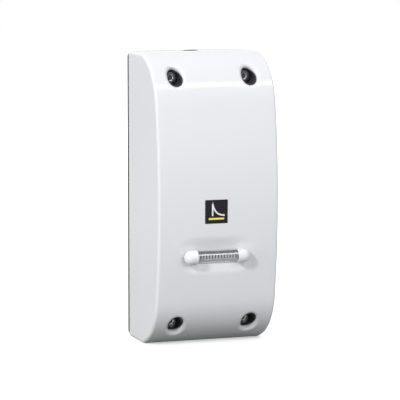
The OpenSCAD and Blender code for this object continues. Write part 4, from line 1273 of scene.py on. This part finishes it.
def header_meshes():
    """The data connector: a shrouded header with a key slot and ten square, pointed pins."""
    px, py = on_board(0.27, -0.12)
    z = BOARD_FRONT
    shell = less(box(px, py, z, 20, 9, 8.8), box(px, py, z + 1.2, 17.6, 6.6, 9),
                 box(px, py - 4.2, z + 3.2, 4.4, 2.4, 9), box(px - 9.4, py, z + 6.6, 2, 3, 4),
                 box(px + 9.4, py, z + 6.6, 2, 3, 4))
    pins = []
    for i in range(-2, 3):
        for s in (-1, 1):
            c = (px + i * 2.54, py + s * 1.27)
            pins.append(loft([level(rounded_rect(w, w, 0.04, 1), z + h, c)
                              for w, h in ((0.6, 1.0), (0.6, 7.1), (0.25, 7.6))]))
    return eased(shell, 0.18), joined(*pins)


def crystal_shape():
    """The clock crystal: a pressed can with a rolled foot flange."""
    px, py = on_board(-0.11, -0.185)
    rings = ((0.1, 0), (0, 0.1), (0, 0.4), (0.1, 0.5), (0.28, 0.55), (0.34, 0.8), (0.34, 2.9),
             (0.42, 3.2), (0.62, 3.36), (0.9, 3.4))
    return loft([level(rounded_rect(10.8 - 2 * inset, 4.6 - 2 * inset, 2.25 - inset, 10),
                       BOARD_FRONT + h, (px, py)) for inset, h in rings])


def coin_meshes():
    """The clock cell and its holder: a cup with finger gaps, and a cell with a stepped rim."""
    px, py = on_board(0.2, -0.36)
    z = BOARD_FRONT
    cup = lathe([(0, 0), (11.2, 0), (11.4, 0.2), (11.4, 2.8), (11.2, 3), (10.2, 3), (10.05, 2.85),
                 (10.05, 1.4), (0, 1.4)], (px, py, z), n=96)
    b = z + 1.4
    cup = less(cup, *[box(px, py + s * 11, b, 8, 4, 4, 0.5) for s in (1, -1)],
               *rods(3, z - 1, z + 2, [(px, py)], 40))
    cell = lathe([(0, 0), (8.6, 0), (8.8, 0.05), (9.0, 0.35), (9.6, 0.4), (9.95, 0.7), (10, 1.1),
                  (10, 2.6), (9.9, 2.95), (9.6, 3.2), (0, 3.2)], (px, py, b), n=96)
    return cup, cell


def switch_meshes():
    """The service switch: a body under a steel cover with four rivets, and its plunger."""
    px, py = on_board(-0.31, -0.14)
    z = BOARD_FRONT
    hole = rods(1.8, z + 1.9, z + 4, [(px, py)], 40)
    body = eased(less(box(px, py, z, 6, 6, 3.0), *hole), 0.2)
    cover = eased(less(box(px, py, z + 3.02, 5.9, 5.9, 0.3), *hole), 0.08)
    rivets = [lathe([(0, 3.25), (0.42, 3.25), (0.4, 3.36), (0.25, 3.4), (0, 3.4)],
                    (px + dx, py + dy, z), n=16) for dx, dy in corners(2.25, 2.25)]
    plunger = lathe([(0, 2.2), (1.5, 2.2), (1.7, 2.35), (1.7, 4.1), (1.6, 4.3), (1.4, 4.4),
                     (0, 4.37)], (px, py, z), n=40)
    return body, merged(cover, *rivets), plunger


# ---------------------------------------------------------------- current sensor and battery

SENSOR_Y, CORE_LOW, CORE_HIGH = 18.0, 20.0, 28.0
CELL_Y, CELL_Z = -42.0, 27.05


def core_mesh(side):
    """Half of the sensor core, x against z: a bar and a leg with a rounded elbow, and a groove
    for the clip."""
    o = np.concatenate([[[0, CORE_LOW], [14, CORE_LOW]], arc(14, CORE_LOW - 1, 1, 90, 0, 3)[1:],
                        [[15, 4.2], [22, 4.2]], arc(20, 26, 2, 0, 90, 5), [[0, CORE_HIGH]]])
    o[:, 0] *= side
    body = eased(prism(o, SENSOR_Y - 8, SENSOR_Y + 8, "y"), 0.35, 2, 50)
    groove = box(side * 22, SENSOR_Y, 13.85, 3.3, 8.3, 0.9)
    return less(body, groove)


def clip_mesh():
    """The spring band that holds the core halves together: rounded bends and turned-in ends."""
    def half(w, top, low, r):
        return np.concatenate([arc(w - r, top - r, r, 90, 0, 5),
                               arc(w - r, low + r, r, 0, -90, 5)])
    outer, inner = half(22.6, 35, 14, 1.0), half(22.0, 34.4, 14.6, 0.4)
    end = np.array([[20.6, 14.0], [20.6, 14.6]])
    right = np.concatenate([outer, end[:1]])
    back = np.concatenate([end[1:], inner[::-1]])
    mirror = np.array([-1, 1])
    o = np.concatenate([right, back, (back * mirror)[::-1], (right * mirror)[::-1]])
    return eased(prism(o, SENSOR_Y - 4, SENSOR_Y + 4, "y"), 0.12, 1, 50)


def bobbin_outline(grow, r, n=5):
    """The bobbin's section, y against z, grown outwards from the core's bar."""
    return rounded_rect(16 + 2 * grow, 8 + 2 * grow, r, n) + np.array([SENSOR_Y, 24])


def bobbin_mesh():
    """The bobbin: a square tube on the core's bar between two flanges with ears, less the core's
    hole, the slot for the core's band and the ways for the wire."""
    tube = prism(bobbin_outline(1.25, 1.2), -12, 12, "x")
    flanges = []
    for s in (-1, 1):
        lo, hi = sorted((s * 13, s * 11.5))
        ear = rounded_rect(27.6, 12, 0.4, 2) + np.array([SENSOR_Y, 30.0])
        flange = plus(prism(bobbin_outline(5.8, 1.5), lo, hi, "x"), prism(ear, lo, hi, "x"))
        flanges.append(eased(flange, 0.2, 2, 50))
    body = plus(tube, *flanges)
    hole = box(0, SENSOR_Y, 19.95, 60, 16.1, 8.1)
    slot = box(0, SENSOR_Y, 33.25, 60, 8.1, 8)
    ways = [box(s * 12, SENSOR_Y + t * 13, 34.2, 4, 1.2, 4) for s in (-1, 1) for t in (-1, 1)]
    return less(body, hole, slot, *ways)


def winding_shape(turns=50, wire=0.23):
    """The winding: one layer of round wire on a filled core. The wire's middle goes round the
    section grown by 5.0 mm and moves by its own width along x in each turn, up and back."""
    o = bobbin_outline(5.0, 2.9, 4)
    n = len(o)
    k = np.arange(turns * n)
    x = -11.4 + (k / (n * turns)) * 22.8
    path = np.column_stack([x, o[k % n]])
    under = loft([np.column_stack([np.full(n, v), bobbin_outline(4.9, 2.8, 4)])
                  for v in (-11.45, 11.45)])
    return joined(tube_along(path, wire, 6), under)


def holder_mesh():
    """The battery holder: a tray open to the rear, with end walls, cheeks cut low in the middle
    so that the cell can be lifted out, and slots for the contacts."""
    y, low = CELL_Y, BOARD_BACK - 14.025
    tray = less(box(0, y, low, 60.8, 17.7, 14.025, 0.6), box(0, y, low - 1, 58.0, 14.9, 13.53, 0.3))
    cheeks = [box(0, y + s * 8.2, low - 1, 22, 3, 5.5, 1.0) for s in (-1, 1)]
    hole = [box(s * 15, y, BOARD_BACK - 3, 8, 6, 5, 1) for s in (-1, 1)]
    return eased(less(tray, *cheeks, *hole), 0.25, 2, 40)


def cell_shape():
    """The battery cell along x: sleeve edge curled over the can's ends, and the nub."""
    ring = [(0, 0.25), (5.6, 0.25), (5.8, 0.05), (6.9, 0), (7.2, 0.25), (7.25, 0.6), (7.25, 49.9),
            (7.2, 50.25), (6.9, 50.5), (6.2, 50.45), (6.0, 50.2), (2.9, 50.2), (2.75, 50.4),
            (2.75, 51.2), (2.5, 51.5), (0, 51.5)]
    return lathe(ring, (-22.9, CELL_Y, CELL_Z), "x", 72)


def contact_mesh():
    """Two contact plates that stand square to the cell, with eased edges."""
    low, high = 21.55, 34.5
    outline = rounded_rect(11, high - low, 1.2, 4) + np.array([CELL_Y, (low + high) / 2])
    return merged(*[eased(prism(outline, x - 0.2, x + 0.2, "x"), 0.08, 1, 50)
                    for x in (-28.8, 28.8)])


def spring_shape(turns=5):
    """A conical spring: radius from 5.1 to 2.6 mm over its length of 5 mm, wire 0.8 mm, with a
    flat turn at each end: the height follows 3 t^2 - 2 t^3."""
    t = np.linspace(0, 1, turns * 28 + 1)
    a = t * turns * TAU
    r = 5.1 - 2.5 * t
    x = -28.2 + 4.998 * (3 * t ** 2 - 2 * t ** 3)
    return tube_along(np.stack([x, CELL_Y + r * np.cos(a), CELL_Z + r * np.sin(a)], 1), 0.4, 10)


# ---------------------------------------------------------------- the finishes and the pieces

camera()
studio()

WHITE = moulded("cover_white", (0.795, 0.797, 0.822), rough=0.19, grain=0.010)
CAP_WHITE = moulded("cap_white", (0.84, 0.84, 0.85), rough=0.22, grain=0.004)
BLACK = moulded("rubber_black", (0.012, 0.012, 0.013), rough=0.38, grain=0.01, spec=0.3)
BUSH, STEEL, PLATE = bush_rubber(), screw_steel(), plate_finish()
PALE = moulded("guide_white", (0.50, 0.50, 0.51), rough=0.35, grain=0.006)
SMOKE = moulded("lens_smoke", (0.075, 0.077, 0.083), rough=0.18, grain=0.003)
IVORY = moulded("socket_ivory", (0.72, 0.68, 0.55), rough=0.4, grain=0.01)
CHARCOAL = moulded("plastic_charcoal", (0.035, 0.036, 0.038), rough=0.45, grain=0.02)
RED = moulded("button_red", (0.45, 0.03, 0.02), rough=0.35, grain=0.008)
FERRITE = moulded("ferrite", (0.055, 0.053, 0.052), rough=0.6, grain=0.05, shade_by=0.12,
                  size=900.0)
COPPER = moulded("enamelled_wire", (0.42, 0.13, 0.045), rough=0.22, grain=0.004, shade_by=0.1,
                 spec=0.8)
BRASS = metal("brass", (0.72, 0.52, 0.22), 0.3)
ZINC = metal("zinc", (0.62, 0.63, 0.65), 0.34)
BRIGHT = metal("bright_can", (0.72, 0.73, 0.74), 0.22)
TIN = metal("tin", (0.66, 0.64, 0.58), 0.3)
GOLD = metal("gold_flash", (0.83, 0.62, 0.25), 0.25)
GREEN = board_lacquer("lacquer_green", (0.006, 0.075, 0.035), [
    (-7.8, -10, 16, 16), (-7.8, -24.8, 12.4, 6.2), (-21.3, 8, 10, 19.6), (1.4, 36.2, 11, 15.4),
    (19.2, -16.1, 21.6, 10.6), (-22, -18.8, 7.2, 7.2), (-20, -34.4, 8.4, 7.4),
    (0, -42, 62.4, 19.2), (-21.3, 36.2, 14, 29)])
BLUE = board_lacquer("lacquer_blue", (0.01, 0.03, 0.12))
STRIP = zoned("strip_dark", (0.16, 0.165, 0.17), [
    (lambda x, y, z: y.band(WINDOW_Y - CHIP_DROP, 0.45, 0.05) * z.step(TUBE_Z - 0.87, 0.02),
     (0.02, 0.02, 0.022), False)], rough=0.4, grain=0.004)
BARE = (0.70, 0.69, 0.67)


def from_axis(x, y):
    """Distance from the nearer of the two capacitors' axes."""
    dy = abs(y) - CAPACITOR_DY
    return (x * x + dy * dy).root()


CAN_SLEEVE = zoned("can_sleeve", (0.03, 0.05, 0.11), [
    (lambda x, y, z: x.step(4.7, 0.15) * from_axis(x, y).step(5.7, 0.1),
     (0.55, 0.57, 0.62), False),
    (lambda x, y, z: (5.1 - from_axis(x, y)).step(0.0, 0.1) * z.step(BOARD_FRONT + 17.3, 0.1),
     BARE, True)], centre=CAPACITORS, rough=0.3)
CELL_SLEEVE = zoned("cell_sleeve", (0.035, 0.085, 0.21), [
    (lambda x, y, z: x.band(22.0, 3.2, 0.1), (0.60, 0.62, 0.64), False),
    (lambda x, y, z: abs(x - 2.35).step(24.95, 0.1), BARE, True)], rough=0.3)
CERAMIC = zoned("ceramic", (0.78, 0.76, 0.7), [
    (lambda x, y, z: abs(x).step(2.97, 0.05), BARE, True)], centre=ARRESTERS)
BANDS = [(-2.5, (0.16, 0.05, 0.02)), (-1.3, (0.012, 0.012, 0.012)), (-0.1, (0.45, 0.02, 0.015)),
         (1.1, (0.62, 0.30, 0.01)), (2.6, (0.45, 0.30, 0.08))]
TAN = zoned("resistor_tan", (0.6, 0.44, 0.26), [
    (lambda x, y, z, at=at: x.band(at, 0.3, 0.08), tint, False) for at, tint in BANDS] + [
    (lambda x, y, z: abs(x).step(3.72, 0.04), BARE, True)], centre=RESISTORS)

piece("cover_shell", cover_mesh(), WHITE, "front_cover")
piece("pocket_bush_set", joined(*[bush_shape(x, y) for x, y in SCREWS]), BUSH, "pocket_bushes")
for (x, y), corner in zip(SCREWS, ("top_left", "top_right", "bottom_left", "bottom_right")):
    screw, washer = "screw_" + corner, "washer_" + corner
    piece("sealing_" + washer, washer_shape(x, y), STEEL, washer, body=washer)
    piece("cap_" + screw, socket_screw((x, y, HEAD_Z), 5, 30, 8.5, 5, 0.8), STEEL, screw,
          body=screw)
for side, word in ((-1, "left"), (1, "right")):
    piece("end_cap_" + word, cap_mesh(side), CAP_WHITE, "window_cap_" + word)
piece("icon_square", icon_shape(), icon_print(), "icon_plate")
# The tube's finish carries painted lines of light and shade
unshaded = [piece("clear_tube", tube_shape(), clear_plastic_with_painted_light(), "window_tube"),
            piece("strip_board", indicator_board_mesh(), STRIP, "indicator_board"),
            piece("light_guide", reflector_mesh(), PALE, "indicator_reflector"),
            piece("light_bars", bars_shape(), SMOKE, "indicator_bars")]
for obj in unshaded:
    obj.visible_shadow = obj.visible_diffuse = False
piece("push_clips", clips_mesh(), ZINC, "cap_clips")
piece("twin_lead", lead_shape(), BLACK, "indicator_lead")
piece("lead_socket", socket_mesh(), IVORY, "indicator_socket")

piece("rear_plate", plate_mesh(), PLATE, "back_plate", body="base")
piece("seal_ring", ring_sweep([(0.62, 2.32), (2.18, 2.32), (2.18, 3.0), (1.98, 3.18), (1.72, 3.0),
                               (1.08, 3.0), (0.82, 3.18), (0.62, 3.0)]),
      BLACK, "base_gasket", body="base")
piece("cover_inserts", joined(*[insert_shape(x, y, BOSS_TOP, 7, 10, 5.16, 0.8) for x, y in SCREWS]),
      BRASS, "cover_screw_inserts", body="base")
piece("clamp_inserts", joined(*[insert_shape(x, y, SADDLE_TOP, 5.8, 6.4, 4.16, 0.7)
                                 for x, y in CLAMPS]),
      BRASS, "clamp_screw_inserts", body="base")
for side, word in ((1, "top"), (-1, "bottom")):
    piece("entry_plug_" + word, seal_mesh(side), BLACK, word + "_entry_seal", body="base")
    piece("strap_" + word, strap_mesh(side), ZINC, word + "_clamp_strap", body=word + "_strap")
    for sx, hand in ((-1, "left"), (1, "right")):
        piece("strap_screw_%s_%s" % (word, hand),
              socket_screw((sx * CLAMP_X, side * CLAMP_Y, STRAP_TOP), 4, 10, 7, 3.8, 0.7), ZINC,
              "%s_clamp_screw_%s" % (word, hand), body="%s_strap_screw_%s" % (word, hand))

piece("circuit_board", board_mesh(), GREEN, "main_board")
piece("board_screw_set", merged(*[board_screw_mesh(x, y) for x, y in POSTS]), ZINC, "board_screws")
body, leads = chip_mesh()
piece("processor", body, CHARCOAL, "microcontroller")
piece("processor_leads", leads, TIN, slot="contact_tin")
card, can = radio_meshes()
piece("radio_card", card, BLUE, "wireless_module")
piece("radio_can", can, BRIGHT, slot="bright_can")
piece("capacitor_pair", merged(*[capacitor_mesh(s * CAPACITOR_DY) for s in (1, -1)]), CAN_SLEEVE,
      "storage_capacitors")
piece("arrester_pair", joined(*[arrester_shape(y) for y in (5, -5)]), CERAMIC, "surge_arresters")
piece("resistor_set", joined(*[resistor_shape(y) for y in (-5, 0, 5)]), TAN, "burden_resistors")
shell, pins = header_meshes()
piece("header_shroud", shell, CHARCOAL, "data_connector")
piece("header_pins", pins, GOLD, slot="contact_tin")
piece("crystal_can", crystal_shape(), BRIGHT, "clock_crystal")
cup, coin = coin_meshes()
piece("coin_cup", cup, CHARCOAL, "clock_cell_holder")
piece("coin_cell", coin, BRIGHT, "clock_cell")
body, lid, plunger = switch_meshes()
piece("switch_body", body, CHARCOAL, "service_switch")
piece("switch_lid", lid, BRIGHT, slot="bright_can")
piece("switch_button", plunger, RED, "switch_plunger", body="plunger")
for side, word in ((-1, "left"), (1, "right")):
    piece("core_" + word, core_mesh(side), FERRITE, "core_half_" + word)
piece("core_band", clip_mesh(), ZINC, "core_clip")
piece("coil_former", bobbin_mesh(), CHARCOAL, "coil_bobbin")
piece("coil_wire", winding_shape(), COPPER, "coil_winding")
piece("cell_tray", holder_mesh(), CHARCOAL, "battery_holder")
piece("main_cell", cell_shape(), CELL_SLEEVE, "battery_cell")
piece("cell_contacts", contact_mesh(), TIN, "battery_contacts")
piece("cell_spring", spring_shape(), TIN, "battery_spring")

scene = bpy.context.scene
scene.view_settings.view_transform = "Standard"

box = [list(cad_low), list(cad_high)]
